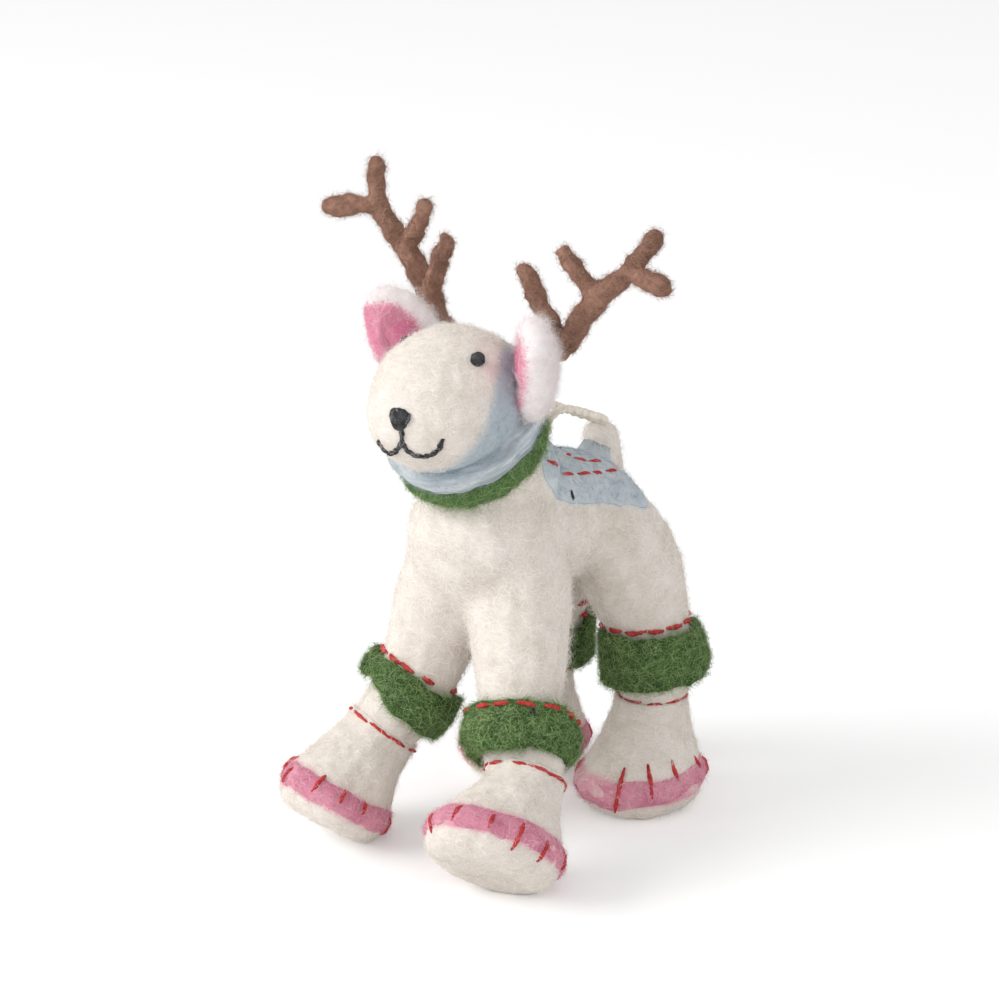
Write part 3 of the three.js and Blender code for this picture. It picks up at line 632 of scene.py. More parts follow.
def stitch_rule():
    """Nodes that lay one bowed, twisted stitch of floss at each given place, facing out and along as noted there."""
    tree, given = new_rule(
        "hand_stitch",
        {
            "Places": "Geometry", "Length": "Float", "Radius": "Float", "Bow": "Float", "Twist": "Float",
            "Floss": "Material",
        },
        "Stitches",
    )
    back, half = [figure(tree, "MULTIPLY", given["Length"], share) for share in (-0.5, 0.5)]
    sunk = figure(tree, "MULTIPLY", given["Radius"], -0.9)
    arc = add_node(
        tree, "GeometryNodeCurveQuadraticBezier",
        {
            "Resolution": 7, "Start": triple(tree, back, z=sunk), "Middle": triple(tree, z=given["Bow"]),
            "End": triple(tree, half, z=sunk),
        },
    ).outputs[0]
    gone = add_node(tree, "GeometryNodeSplineParameter").outputs["Factor"]
    tilt = figure(tree, "MULTIPLY", gone, given["Twist"])
    arc = add_node(tree, "GeometryNodeSetCurveTilt", {"Curve": arc, "Tilt": tilt}).outputs[0]
    ends = figure(tree, "POWER", figure(tree, "MULTIPLY_ADD", gone, 2.0, -1.0), 4.0)
    girth = figure(tree, "MULTIPLY_ADD", ends, -0.55, 1.0)
    outline = add_node(tree, "GeometryNodeCurvePrimitiveCircle", {"Resolution": 7, "Radius": given["Radius"]})
    outline = add_node(tree, "GeometryNodeTransform", {"Geometry": outline.outputs[0], "Scale": (1.0, 0.72, 1.0)})
    stitch = add_node(
        tree, "GeometryNodeCurveToMesh",
        {"Curve": arc, "Profile Curve": outline.outputs[0], "Scale": girth, "Fill Caps": True},
    ).outputs[0]
    way = add_node(
        tree, "FunctionNodeAxesToRotation",
        {"Primary Axis": noted(tree, "out", "FLOAT_VECTOR"), "Secondary Axis": noted(tree, "along", "FLOAT_VECTOR")},
        primary_axis="Z", secondary_axis="X",
    ).outputs[0]
    size = triple(tree, noted(tree, "reach"), 1.0, 1.0)
    places = add_node(tree, "GeometryNodeMeshToPoints", {"Mesh": given["Places"]}).outputs[0]
    sewn = add_node(
        tree, "GeometryNodeInstanceOnPoints", {"Points": places, "Instance": stitch, "Rotation": way, "Scale": size}
    ).outputs[0]
    sewn = add_node(tree, "GeometryNodeRealizeInstances", {"Geometry": sewn}).outputs[0]
    end_rule(tree, sewn, given["Floss"], smooth=True)
    return tree


stitch_nodes = stitch_rule()


def sew(name, stitches, length, radius, floss, nodes=(), bow=None, twist=7.0):
    """Stitches as one piece.

    Each is its place, the way it faces, the way it runs and how long it is beside the usual.
    """
    mesh = bpy.data.meshes.new(name + "_places")
    mesh.from_pydata([s[0] for s in stitches], [], [])
    for label, at in (("out", 1), ("along", 2)):
        kept = mesh.attributes.new(label, "FLOAT_VECTOR", "POINT")
        kept.data.foreach_set("vector", np.array([s[at] for s in stitches], np.float32).ravel())
    kept = mesh.attributes.new("reach", "FLOAT", "POINT")
    kept.data.foreach_set("value", np.array([s[3] for s in stitches], np.float32))
    places = bpy.data.objects.new(name + "_places", mesh)
    made = by_rule(
        name, places, stitch_nodes,
        {
            "Length": length, "Radius": radius, "Bow": radius * 1.3 if bow is None else bow,
            "Twist": twist, "Floss": floss,
        },
    )
    bpy.data.objects.remove(places)
    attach(made, "animal")
    if nodes:
        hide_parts(*nodes)


def round_stitches(skins, middle, axis, count, start, seed, rise=0.0, uneven=0.12):
    """Places of running stitches round a limb, on the outermost of its skins."""
    rng = np.random.RandomState(seed)
    first = axis.orthogonal().normalized()
    second = axis.cross(first)
    found = []
    for k in range(count):
        angle = start + math.tau * (k + rng.uniform(-uneven, uneven)) / count
        out = first * math.cos(angle) + second * math.sin(angle)
        along = second * math.cos(angle) - first * math.sin(angle)
        hits = [skin.ray_cast(middle + out * 20 * mm, -out, 20 * mm) for skin in skins]
        hits = [hit for hit in hits if hit[0] is not None]
        if not hits:
            continue
        place, facing, _, _ = min(hits, key=lambda hit: hit[3])
        along = (along + axis * rng.uniform(-uneven, uneven)).normalized()
        out = (facing - along * facing.dot(along)).normalized()
        found.append((place + out * rise, out, along, rng.uniform(0.7, 1.15)))
    return found


welt_rise = {"front_left": 0.0, "front_right": 0.0, "rear_left": 1.0 * mm, "rear_right": 0.0}


def spread_welt(welt, leg):
    """Spreads a band's two edges unevenly over the boot, and lifts it where its heel end runs up."""
    middle, down = ring_plane(leg + "_welt_band")
    places = np.array([v.co for v in welt.data.vertices])
    heel = Vector((places[:, 0].max(), places[:, 1].max(), middle.z))
    reach = (heel - middle).length
    work = bmesh.new()
    work.from_mesh(welt.data)
    bmesh.ops.subdivide_edges(work, edges=work.edges, cuts=2, use_grid_fill=True)
    work.normal_update()
    moves = []
    for v in work.verts:
        edge = v.normal.dot(down)
        uneven = 0.9 * noise.noise(v.co / (3 * mm)) - 0.3
        back = max(-0.4, (v.co - middle).dot(heel - middle) / reach**2)
        move = down * math.copysign(uneven * mm, edge) * (abs(edge) > 0.2)
        moves.append(move - down * back * welt_rise[leg] * (2.0 if edge > 0 else 1.2))
    for v, move in zip(work.verts, moves):
        v.co += move
    work.to_mesh(welt.data)
    work.free()


turned_leg = "front_right"
toe_pivot = (388, 808)
toe_turn = math.radians(6)
toe_size = 0.91
toe_drop = 13 * mm


def turn_toe(piece):
    """Turns the toe end of a boot on the picture and draws it in, less and less towards the ankle."""
    pivot = seen_at(skin_of(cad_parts[turned_leg + "_boot"].data), *toe_pivot)[0]
    middle, down = ankle_planes[turned_leg]
    for v in piece.data.vertices:
        share = max(0.0, min(1.0, (v.co - middle).dot(down) / toe_drop))
        off = Matrix.Rotation(toe_turn * share, 3, view_away) @ (v.co - pivot)
        v.co = pivot + off * (1 + (toe_size - 1) * share)
        v.co.z = max(v.co.z, 0.0)


ankle_slide = {"front_left": 0.0, "front_right": 0.0, "rear_left": 1.1 * mm, "rear_right": 0.0}
bare_sole, bare_welt = 1.2 * mm, 1.4 * mm
welt_proud, welt_depth = 0.1 * mm, 0.35 * mm
pink_fade = 1.7 * mm
tan_pixel, tan_width = (350, 748), 1.6 * mm
welt_skins = {}
boot_skins = {}
for turn, leg in enumerate(legs):
    band_skin = skin_of(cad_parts[leg + "_welt_band"].data)
    boot = joined_copy(leg + "_felt_boot", [leg + "_boot", leg + "_welt_band"], seam_overlap)
    needle(boot, stitch=0.42 * mm, passes=7, lumps=[(8 * mm, 0.4 * mm), (2.0 * mm, 0.2 * mm)], seed=5.0 + turn)
    close = nearness(boot, [band_skin], pink_fade)
    if leg == turned_leg:
        turn_toe(boot)
        boot.data.update()
        tan_place = seen_at(skin_of(boot.data), *tan_pixel)[0]
        note(boot, "tan", [max(0.0, 0.6 - (v.co - tan_place).length / tan_width) for v in boot.data.vertices])
    patchy = [noise.noise(v.co / stain_grain) for v in boot.data.vertices]
    note(boot, "pink", np.clip(close * (0.85 + 0.4 * np.array(patchy)), 0, 1))
    low = np.array([v.co.z for v in boot.data.vertices])
    note(boot, "fleece", np.where(low < bare_sole, 0.0, np.clip(1.15 - close * 1.2, 0, 1)))
    boot.data.materials.append(boot_look)
    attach(boot, "animal")
    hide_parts(leg + "_boot")
    grow_fleece(
        boot, white_hair, "white_wool", seed=31 + turn, per_mm2=3.2, length=2.1 * mm, radius=0.04 * mm, lean=74
    )
    boot_skins[leg] = skin_of(boot.data)

    welt = joined_copy(leg + "_pink_welt", [leg + "_welt_band"])
    spread_welt(welt, leg)
    if leg == turned_leg:
        turn_toe(welt)
    needle(welt, stitch=0.36 * mm, passes=3, lumps=[], seed=9.0 + turn)
    for v in welt.data.vertices:
        place, facing, _, _ = boot_skins[leg].find_nearest(v.co)
        if (v.co - place).dot(facing) > -welt_depth:
            v.co = place + facing * welt_proud
    welt.data.update()
    welt.data.materials.append(welt_look)
    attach(welt, "animal")
    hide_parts(leg + "_welt_band")
    note(welt, "fleece", [1.0 if v.co.z > bare_welt else 0.0 for v in welt.data.vertices])
    grow_fleece(
        welt, pink_hair, "pink_wool", seed=41 + turn, per_mm2=5.5, length=1.8 * mm, radius=0.034 * mm, lean=76
    )
    welt_skins[leg] = skin_of(welt.data)

    middle, way = ankle_planes[leg]
    middle = middle - way * ankle_slide[leg]
    sew(
        leg + "_ankle_stitches",
        round_stitches([boot_skins[leg], body_skin], middle, way, count=10, start=0.3 + turn, seed=turn),
        length=4.5 * mm, radius=0.4 * mm, floss=red_look, nodes=[leg + "_ankle_thread"],
    )

welt_stitch_pixels = 14.5
stitch_room = 4.6 * mm
welt_stitches = {
    "front_left": [(431, 824, 15), (457, 811, 15), (492, 819, 13), (518, 838, 21), (543, 853, 17)],
    "front_right": [(288, 773, 14), (318, 784, 17), (342, 798, 13), (364, 809, 11)],
    "rear_left": [(577, 789, 17), (619, 790, 32), (650, 780, 26), (675, 773, 23), (697, 763, 14)],
    "rear_right": [(456, 742, 14)],
}


def welt_round(leg, count, start):
    """Places of whip stitches round a welt, each across it."""
    places = np.array([v.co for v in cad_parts[leg + "_welt_band"].data.vertices])
    middle = Vector(places.mean(0))
    axis = Vector(np.linalg.svd(places - places.mean(0), full_matrices=False)[2][2])
    first = axis.orthogonal().normalized()
    second = axis.cross(first)
    found = []
    for k in range(count):
        angle = start + math.tau * k / count
        out = first * math.cos(angle) + second * math.sin(angle)
        place = welt_skins[leg].ray_cast(middle + out * 30 * mm, -out, 40 * mm)[0]
        if place is not None:
            facing = boot_skins[leg].find_nearest(place)[1]
            along = (axis - facing * axis.dot(facing)).normalized()
            found.append((place, facing, along, 1.0))
    return found


for leg in legs:
    stitches = []
    ring = welt_round(leg, count=11, start=0.2)
    for x, y, long in welt_stitches[leg]:
        place = seen_at(boot_skins[leg], x, y)[0]
        if place is not None:
            facing = boot_skins[leg].find_nearest(place)[1]
            across = min(ring, key=lambda s: (s[0] - place).length)[2]
            across = (across - facing * across.dot(facing)).normalized()
            stitches.append((place, facing, across, long / welt_stitch_pixels))
    seen = [s[0] for s in stitches]
    for s in ring:
        if all((s[0] - p).length > stitch_room for p in seen) and s[1].dot(view_away) < 0.25:
            stitches.append(s)
    sew(
        leg + "_welt_stitches", stitches, length=3.8 * mm, radius=0.52 * mm, floss=red_look
    )


# Cuffs: fluffy green leg warmers of loosely felted wool, rolled round each leg above the boot.
# Red running stitches along the top edge hold each one to its leg, and a dark thread is knotted in on one.
# The felt under the hairs is a darker green than the wool, with deep hollows: partly its own green, partly painted
# shade for the gaps between the hairs.
cuff_look = wool_felt(
    "green_cuff_wool", paint(70, 100, 52), paint(42, 66, 34), fibre=1500.0, depth=0.0003, deeps=0.7
)
green_hair = loose_wool("green_hairs", paint(182, 210, 144), paint(58, 92, 44))
pale_hair = loose_wool("pale_green_hairs", paint(196, 208, 178), paint(140, 164, 118))
cuff_slide = {"front_left": -1.8 * mm, "front_right": -0.4 * mm, "rear_left": 0.3 * mm, "rear_right": 0.0}
cuff_overlap = 0.35 * mm
cuff_bare = 0.9 * mm
cuff_across = 9 * mm


def lift_edge(cuff, leg, rise, gather):
    """Lifts a cuff's lower edge at its outer side and gathers it in at the other."""
    low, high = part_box(leg + "_cuff")
    down = ring_plane(leg + "_cuff_thread")[1]
    for v in cuff.data.vertices:
        off = v.co - (low + high) / 2
        below = max(0.0, min(1.0, 0.5 + off.dot(down) / cuff_across))
        across = max(-1.0, min(1.0, off.dot(view_right) / cuff_across))
        v.co += (down * rise * min(0.0, across) - view_right * gather * max(0.0, across)) * below


for turn, leg in enumerate(legs):
    cuff = joined_copy(leg + "_green_cuff", [leg + "_cuff"], cuff_overlap)
    if leg == "front_right":
        lift_edge(cuff, leg, rise=3.6 * mm, gather=1.6 * mm)
    needle(cuff, stitch=0.45 * mm, passes=6, lumps=[(6 * mm, 1.1 * mm), (2.4 * mm, 0.45 * mm)], seed=15.0 + 3 * turn)
    cuff.data.materials.append(cuff_look)
    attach(cuff, "animal")
    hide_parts(leg + "_cuff")
    inner = nearness(cuff, [body_skin], cuff_bare)
    note(cuff, "fleece", np.where(inner > 0, 0.0, 1.0))
    grow_fleece(
        cuff, green_hair, "green_wool", seed=51 + turn, per_mm2=9.0,
        length=2.1 * mm, radius=0.042 * mm, lean=68, curl=1.2,
    )
    grow_fleece(
        cuff, pale_hair, "green_wool", seed=55 + turn, per_mm2=0.5,
        length=2.6 * mm, radius=0.03 * mm, lean=84, curl=1.2, joints=3, kind="pale_hairs",
    )
    cuff_skin = skin_of(cuff.data)
    if leg == "front_left":
        dark_place, dark_facing = seen_at(cuff_skin, 532, 711)
    middle, way = ring_plane(leg + "_cuff_thread")
    middle = middle - way * cuff_slide[leg]
    sew(
        leg + "_cuff_stitches",
        round_stitches(
            [body_skin, cuff_skin], middle, way, count=12, start=0.5 + turn, seed=7 + turn, rise=0.35 * mm
        ),
        length=3.7 * mm, radius=0.54 * mm, floss=red_look, nodes=[leg + "_cuff_thread"],
    )


# Blanket: a thin grey-blue felt pelt laid over the back and needled down at its edges.
# Two rows of red running stitch go along each side, with one stray black stitch and a fine dark thread on the left;
# that thread is also painted shade along the blanket's upper front edge.
# A little of its blue wool is needled into the white just past the edges.
blanket_stain = 1 * mm
border_taper, border_thick = 3.5 * mm, 0.06 * mm
blanket_sink, blanket_press = 0.4 * mm, 0.7
blanket_least = 0.1 * mm
blanket_lump, blanket_lump_height = 6 * mm, 0.12 * mm
blanket_raise, blanket_rear_raise = 0.4, 1.8
blanket_look = wool_felt("blue_blanket_felt", blue_light, blue_shade, [("blush", paint(222, 160, 170))])
blue_hair = loose_wool("blue_hairs", paint(210, 219, 225), paint(146, 163, 177))
black_look = spun_thread("black_floss", paint(78, 78, 80), paint(22, 22, 24), strand=3400.0, sheen=0.2, shine=0.25)
blanket = joined_copy("blue_blanket", ["blanket"])
needle(blanket, stitch=0.4 * mm, passes=2, lumps=[], seed=27.0)
blanket_low, blanket_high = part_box("blanket")
under_blanket = [body_skin.find_nearest(v.co) for v in blanket.data.vertices]
borders = [v.co for v, hit in zip(blanket.data.vertices, under_blanket) if abs(v.normal.dot(hit[1])) < 0.5]
border_tree = KDTree(len(borders))
for i, place in enumerate(borders):
    border_tree.insert(place, i)
border_tree.balance()
for v, (place, facing, _, _) in zip(blanket.data.vertices, under_blanket):
    off = ((v.co - place).dot(facing) - blanket_sink) * blanket_press
    if off > blanket_least:
        taper = min(1.0, border_tree.find(v.co)[2] / border_taper)
        off = (off + noise.noise(v.co / blanket_lump) * blanket_lump_height) * taper + border_thick
    rear = (v.co.y - blanket_low.y) / (blanket_high.y - blanket_low.y)
    drop = (blanket_high.z - v.co.z) / (blanket_high.z - blanket_low.z)
    raised = Vector((0, 0, (blanket_raise + blanket_rear_raise * rear) * drop**2)) * mm
    place, facing, _, _ = body_skin.find_nearest(place + raised)
    v.co = place + facing * off
blanket.data.update()
blanket.data.materials.append(blanket_look)
blanket_skin = skin_of(blanket.data)
by_edge = nearness(body, [blanket_skin], blanket_stain) * (tail_close == 0)
note(body, "blue", np.clip(by_edge * ragged, 0, 1))
blush_width = 2.6 * mm
blush_place, _ = seen_at(blanket_skin, 616, 467)
note(blanket, "blush", [max(0.0, 0.75 - (v.co - blush_place).length / blush_width) for v in blanket.data.vertices])
inner_gap = 0.25 * mm
inner = nearness(blanket, [body_skin], inner_gap)
note(blanket, "fleece", np.where(inner > 0, 0.0, 1.0))
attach(blanket, "animal")
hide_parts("blanket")
grow_fleece(blanket, blue_hair, "blue_wool", seed=61, per_mm2=4.5, length=2.0 * mm, radius=0.03 * mm, lean=80)

row_stitch = 2.4 * mm
row_from_spine = 3.2 * mm
row_ends = {
    "upper": [(563, 453, 571, 456), (574, 458, 586, 461), (589, 461, 601, 461)],
    "lower": [
        (548, 461, 557, 465), (561, 473, 575, 474), (578, 474, 590, 473), (593, 472, 602, 473), (606, 471, 617, 470),
    ],
}
for row, ends in row_ends.items():
    for side, way in (("left", 1), ("right", -1)):
        stitches = []
        for ax, ay, bx, by in ends:
            found = [seen_at(blanket_skin, x, y)[0] for x, y in ((ax, ay), (bx, by))]
            first, last = [Vector((max(p.x, row_from_spine) * way, p.y, p.z)) for p in found]
            along = (last - first).normalized()
            place, facing, _, _ = blanket_skin.find_nearest((first + last) / 2)
            facing = facing if facing.z > 0 else -facing
            out = (facing - along * facing.dot(along)).normalized()
            stitches.append((place, out, along, (last - first).length / row_stitch * 1.25))
        sew(
            f"{side}_{row}_stitches", stitches, length=row_stitch, radius=0.4 * mm, floss=red_look,
            nodes=[f"{side}_{row}_row"],
        )


def drawn(skins, pixels):
    """Places on the outermost of some skins for a line through pixels of the picture, and the way each faces."""
    line = smooth_line([(x, y, 0) for x, y in pixels], 6)
    found = []
    for p in line:
        hits = [seen_at(skin, p.x, p.y) for skin in skins]
        hits = [h for h in hits if h[0] is not None]
        if hits:
            found.append(max(hits, key=lambda h: h[0].dot(view_away)))
    return found


def back_stitches(line, step):
    """Stitches end to end along a drawn line."""
    found, start, gone = [], line[0][0], 0.0
    for (a, _), (b, facing) in zip(line, line[1:]):
        gone += (b - a).length
        if gone >= step:
            along = (b - start).normalized()
            out = (facing - along * facing.dot(along)).normalized()
            found.append(((start + b) / 2, out, along, (b - start).length / step * 1.4))
            start, gone = b, 0.0
    return found


# A fine dark thread along the blanket's upper front edge: a thread, and also painted shade along that edge.
edge_shade_thread_line = drawn([blanket_skin, body_skin], [(544, 427), (548, 434), (554, 441), (558, 446), (563, 450)])
edge_shade_thread_step = 1.4 * mm
sew(
    "dark_thread_and_edge_shade", back_stitches(edge_shade_thread_line, edge_shade_thread_step), length=edge_shade_thread_step, radius=0.17 * mm, floss=black_look,
)
stray_place, stray_facing = seen_at(blanket_skin, 572, 495)
sew(
    "stray_black_stitches",
    [
        (stray_place, stray_facing, (view_up * 0.9 - view_right * 0.35).normalized(), 1.0),
        (dark_place, dark_facing, (view_up * 0.6 - view_right * 0.5).normalized(), 1.2),
        (dark_place, dark_facing, (view_up * 0.6 + view_right * 0.6).normalized(), 0.8),
    ],
    length=2.2 * mm, radius=0.4 * mm, floss=black_look,
)


# Collar: a roll of dark green wool felted round the foot of the neck.
# Longer wisps of the same wool are wound over it and left loose.
collar = joined_copy("green_collar", ["collar"], 0.3 * mm)
needle(collar, stitch=0.42 * mm, passes=6, lumps=[(5 * mm, 0.5 * mm), (2 * mm, 0.2 * mm)], seed=33.0)
collar_look = wool_felt("green_collar_wool", green_light, green_shade, depth=0.0002, deeps=0.82)
collar.data.materials.append(collar_look)
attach(collar, "animal")
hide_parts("collar")
grow_fleece(
    collar, green_hair, "green_wool", seed=71, per_mm2=8.0, length=1.9 * mm, radius=0.036 * mm, lean=72, curl=1.0
)
grow_fleece(
    collar, green_hair, "green_wool", seed=72, per_mm2=2.5,
    length=3.4 * mm, radius=0.03 * mm, lean=84, curl=0.5, kind="wisps",
)


# Scarf: grey-blue roving wound round the neck under the jaw, its fibres lying along the turn.
# Its upper edge is needled into the head, so that no gap shows between the two.
scarf_join = 1.5 * mm
scarf_sink = 0.5 * mm
lay_radius = 1.6 * mm
scarf = joined_copy("blue_scarf", ["scarf"], 0.4 * mm)
needle(scarf, stitch=0.42 * mm, passes=6, lumps=[(6 * mm, 0.5 * mm), (2 * mm, 0.2 * mm)], seed=37.0)
head_form = skin_of(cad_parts["head"].data)
for v in scarf.data.vertices:
    place, facing, _, apart = head_form.find_nearest(v.co)
    if apart < scarf_join:
        v.co = place - facing * scarf_sink
scarf_middle, scarf_axis = ring_plane("scarf")
ease(scarf, scarf_middle, reaches=[30 * mm], passes=4)
scarf_first = scarf_axis.orthogonal().normalized()
scarf_second = scarf_axis.cross(scarf_first)
scarf_lay = scarf.data.attributes.new("lay", "FLOAT_VECTOR", "POINT")
lay_places = []
for v in scarf.data.vertices:
    off = v.co - scarf_middle
    angle = math.atan2(off.dot(scarf_second), off.dot(scarf_first))
    lay_places.append((math.cos(angle) * lay_radius, math.sin(angle) * lay_radius, off.dot(scarf_axis)))
scarf_lay.data.foreach_set("vector", np.array(lay_places, np.float32).ravel())
scarf_look = wool_felt(
    "blue_scarf_roving", paint(220, 226, 228), paint(132, 147, 159), fibre=1500.0, deeps=0.8, lay="lay"
)
scarf.data.materials.append(scarf_look)
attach(scarf, "animal")
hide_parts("scarf")
grow_fleece(scarf, blue_hair, "blue_wool", seed=81, per_mm2=3.5, length=2.0 * mm, radius=0.026 * mm, lean=80)


# Head: a firm white egg of felt, set on the neck stump, with a faint pink cheek behind each eye.
# Grey-blue runs up the cheeks in front of the ears, with blue hairs: next to the scarf it is wisps of its wool,
# higher up it is painted shade.
# A small mound of white wool at the back holds the root of each antler.
muzzle_swell, muzzle_width = 1.6 * mm, 7 * mm
mound_swell, mound_width = 1.3 * mm, 3.4 * mm
head = joined_copy("white_head", ["head"], 0.1 * mm)
shell = bmesh.new()
shell.from_mesh(head.data)
hull = bmesh.ops.convex_hull(shell, input=shell.verts)
spare = {g for key in ("geom_interior", "geom_unused") for g in hull[key]}
bmesh.ops.delete(shell, geom=[g for g in spare if isinstance(g, bmesh.types.BMVert)], context="VERTS")
bmesh.ops.recalc_face_normals(shell, faces=shell.faces)
shell.to_mesh(head.data)
shell.free()
needle(head, stitch=0.45 * mm, passes=6, lumps=[(8 * mm, 0.35 * mm), (2.2 * mm, 0.18 * mm)], seed=43.0)
head_low, head_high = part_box("head")
head_middle = (head_low + head_high) / 2
muzzle, muzzle_out = seen_at(skin_of(head.data), 385, 432)
for v in head.data.vertices:
    v.co += muzzle_out * muzzle_swell * math.exp(-((v.co - muzzle).length / muzzle_width) ** 2)
antler_roots = {}
for side in ("left", "right"):
    places = [v.co.copy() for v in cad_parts[side + "_antler"].data.vertices]
    root = antler_roots[side] = min(places, key=lambda p: (p - head_middle).length)
    root_out = skin_of(head.data).find_nearest(root)[1]
    for v in head.data.vertices:
        v.co += root_out * mound_swell * math.exp(-((v.co - root).length / mound_width) ** 2)
head.data.update()
head_skin = skin_of(head.data)


def inside(pixel, outline):
    """How far, in pixels, a pixel lies inside an outline on the picture."""
    x, y = pixel
    far, within = 1e9, False
    for (ax, ay), (bx, by) in zip(outline, outline[1:] + outline[:1]):
        t = ((x - ax) * (bx - ax) + (y - ay) * (by - ay)) / ((bx - ax) ** 2 + (by - ay) ** 2)
        t = max(0.0, min(1.0, t))
        far = min(far, math.hypot(x - ax - t * (bx - ax), y - ay - t * (by - ay)))
        if (ay > y) != (by > y) and x < ax + (y - ay) / (by - ay) * (bx - ax):
            within = not within
    return far if within else -far


def noted_on_picture(piece, outline, soft, tilt, ways=(1, -1)):
    """For each point of a piece or its mirror image, 1 inside an outline on the picture and 0 outside it."""
    found = []
    for v in piece.data.vertices:
        best = 0.0
        for way in ways:
            spot = Vector((head_middle.x + (v.co.x - head_middle.x) * way, v.co.y, v.co.z))
            facing = Vector((v.normal.x * way, v.normal.y, v.normal.z))
            if facing.dot(view_away) > tilt:
                best = max(best, 0.5 + inside(shown_at(spot), outline) / soft)
        found.append(best)
    return np.clip(found, 0, 1)


cheek_outline = [
    (420, 482), (448, 470), (468, 453), (481, 436), (489, 412), (496, 380), (501, 352), (506, 344),
    (530, 350), (560, 420), (540, 520), (430, 520),
]
scarf_stain, scarf_clear = 2.2 * mm, 0.6 * mm
cheek_end, cheek_fade = -1.5 * mm, 3 * mm
by_scarf = nearness(head, [skin_of(scarf.data)], scarf_stain)
# Grey-blue on the cheek up to the ear: the scarf's wool low down, painted shade higher up.
cheek_blue_and_shade = noted_on_picture(head, cheek_outline, soft=18, tilt=-0.3)
cheek_blue_and_shade *= np.clip([(cheek_end - v.co.y) / cheek_fade for v in head.data.vertices], 0, 1)
note(head, "blue", np.maximum(cheek_blue_and_shade, by_scarf * 0.9))
cheek = seen_at(head_skin, 491, 372)[0]
cheek_size = 3.2 * mm
blush_near = []
for v in head.data.vertices:
    both = [v.co, Vector((2 * head_middle.x - v.co.x, v.co.y, v.co.z))]
    blush_near.append(max(0.6 - (spot - cheek).length / cheek_size * 0.45 for spot in both))
note(head, "blush", np.clip(blush_near, 0, 1))
head_look = wool_felt(
    "head_felt", white_light, white_shade, [("blush", paint(236, 208, 208)), ("blue", blue_shade)], 2000.0, deeps=0.87
)
head.data.materials.append(head_look)
clear_of_scarf = nearness(head, [skin_of(scarf.data)], scarf_clear) == 0
note(head, "fleece", np.clip(1 - cheek_blue_and_shade * 1.6, 0, 1) * clear_of_scarf)
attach(head, "animal")
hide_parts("head")
grow_fleece(head, white_hair, "white_wool", seed=91, per_mm2=4.5, length=1.9 * mm, radius=0.036 * mm, lean=78)
grow_fleece(
    head, white_hair, "white_wool", seed=92, per_mm2=1.2,
    length=2.0 * mm, radius=0.022 * mm, lean=46, joints=3, kind="stray_hairs",
)
note(head, "fleece", cheek_blue_and_shade * clear_of_scarf)
grow_fleece(
    head, blue_hair, "blue_wool", seed=93, per_mm2=5.0,
    length=2.2 * mm, radius=0.03 * mm, lean=80, kind="blue_hairs",
)


# Face: black floss, sewn straight into the felt of the head.
# The nose is satin stitch over a small pad, the mouth back stitch, and each eye a wound knot.
nose = joined_copy("nose_pad", ["nose"])
needle(nose, stitch=0.25 * mm, passes=3, lumps=[(1.2 * mm, 0.12 * mm)], seed=51.0)
nose_low, nose_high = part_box("nose")
nose_middle = (nose_low + nose_high) / 2
nose_tall, nose_drop = 1.15, 0.3 * mm
for v in nose.data.vertices:
    height = (v.co.z - nose_low.z) / (nose_high.z - nose_low.z)
    v.co.x = nose_middle.x + (v.co.x - nose_middle.x) * (0.6 + 0.66 * height)
    v.co.z = nose_middle.z + (v.co.z - nose_middle.z) * nose_tall - nose_drop
nose.data.update()
nose.data.materials.append(black_look)
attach(nose, "animal")
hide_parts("nose")
nose_skin = skin_of(nose.data)

mouth_step = 1.5 * mm
mouth_lines = [
    [(402, 430), (402, 437), (402, 443)],
    [(402, 442), (397, 450), (390, 453), (384, 449), (379, 441)],
    [(402, 442), (408, 451), (418, 456), (430, 455), (439, 449), (443, 438)],
]
mouth_stitches = [s for line in mouth_lines for s in back_stitches(drawn([head_skin], line), mouth_step)]
sew(
    "mouth_stitches", mouth_stitches, length=mouth_step, radius=0.6 * mm, floss=black_look,
    nodes=["mouth_thread"],
)
nose_stitch = 3 * mm
nose_stitches = []
for i in range(-3, 4):
    line = drawn([head_skin, nose_skin], [(400 + i * 3.4, 408 + abs(i) * 1.4), (401 + i * 1.5, 432 - abs(i) * 2.4)])
    top, low = line[0][0], line[-1][0]
    along = (low - top).normalized()
    facing = line[len(line) // 2][1]
    out = (facing - along * facing.dot(along)).normalized()
    nose_stitches.append(((top + low) / 2, out, along, (low - top).length / nose_stitch))
# The nose floss's pale grey streaks are partly grey fibre and partly painted highlight on the satin stitches.
charcoal_look = spun_thread(
    "charcoal_floss", paint(134, 134, 136), paint(36, 36, 38), strand=2600.0, sheen=0.2, shine=0.25
)
sew(
    "nose_stitches", nose_stitches, length=nose_stitch, radius=0.36 * mm, floss=charcoal_look,
    bow=0.9 * mm,
)

eye_radius = 1.3 * mm
for side, proud in (("left", 0.35 * mm), ("right", -0.75 * mm)):
    low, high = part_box(side + "_eye")
    place, facing, _, _ = head_skin.find_nearest((low + high) / 2)
    eye = placed(side + "_eye_knot", bpy.data.meshes.new(side + "_eye_knot"))
    ball = bmesh.new()
    bmesh.ops.create_uvsphere(ball, u_segments=28, v_segments=18, radius=eye_radius)
    wind = (facing + Vector((0.3, 0.2, 0.9))).normalized()
    for v in ball.verts:
        across = math.acos(max(-1, min(1, v.co.normalized().dot(wind))))
        v.co *= 1 + 0.05 * math.cos(across * 9)
        v.co += place + facing * proud
    for face in ball.faces:
        face.smooth = True
    ball.to_mesh(eye.data)
    ball.free()
    eye.data.materials.append(black_look)
    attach(eye, "animal")
    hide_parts(side + "_eye")


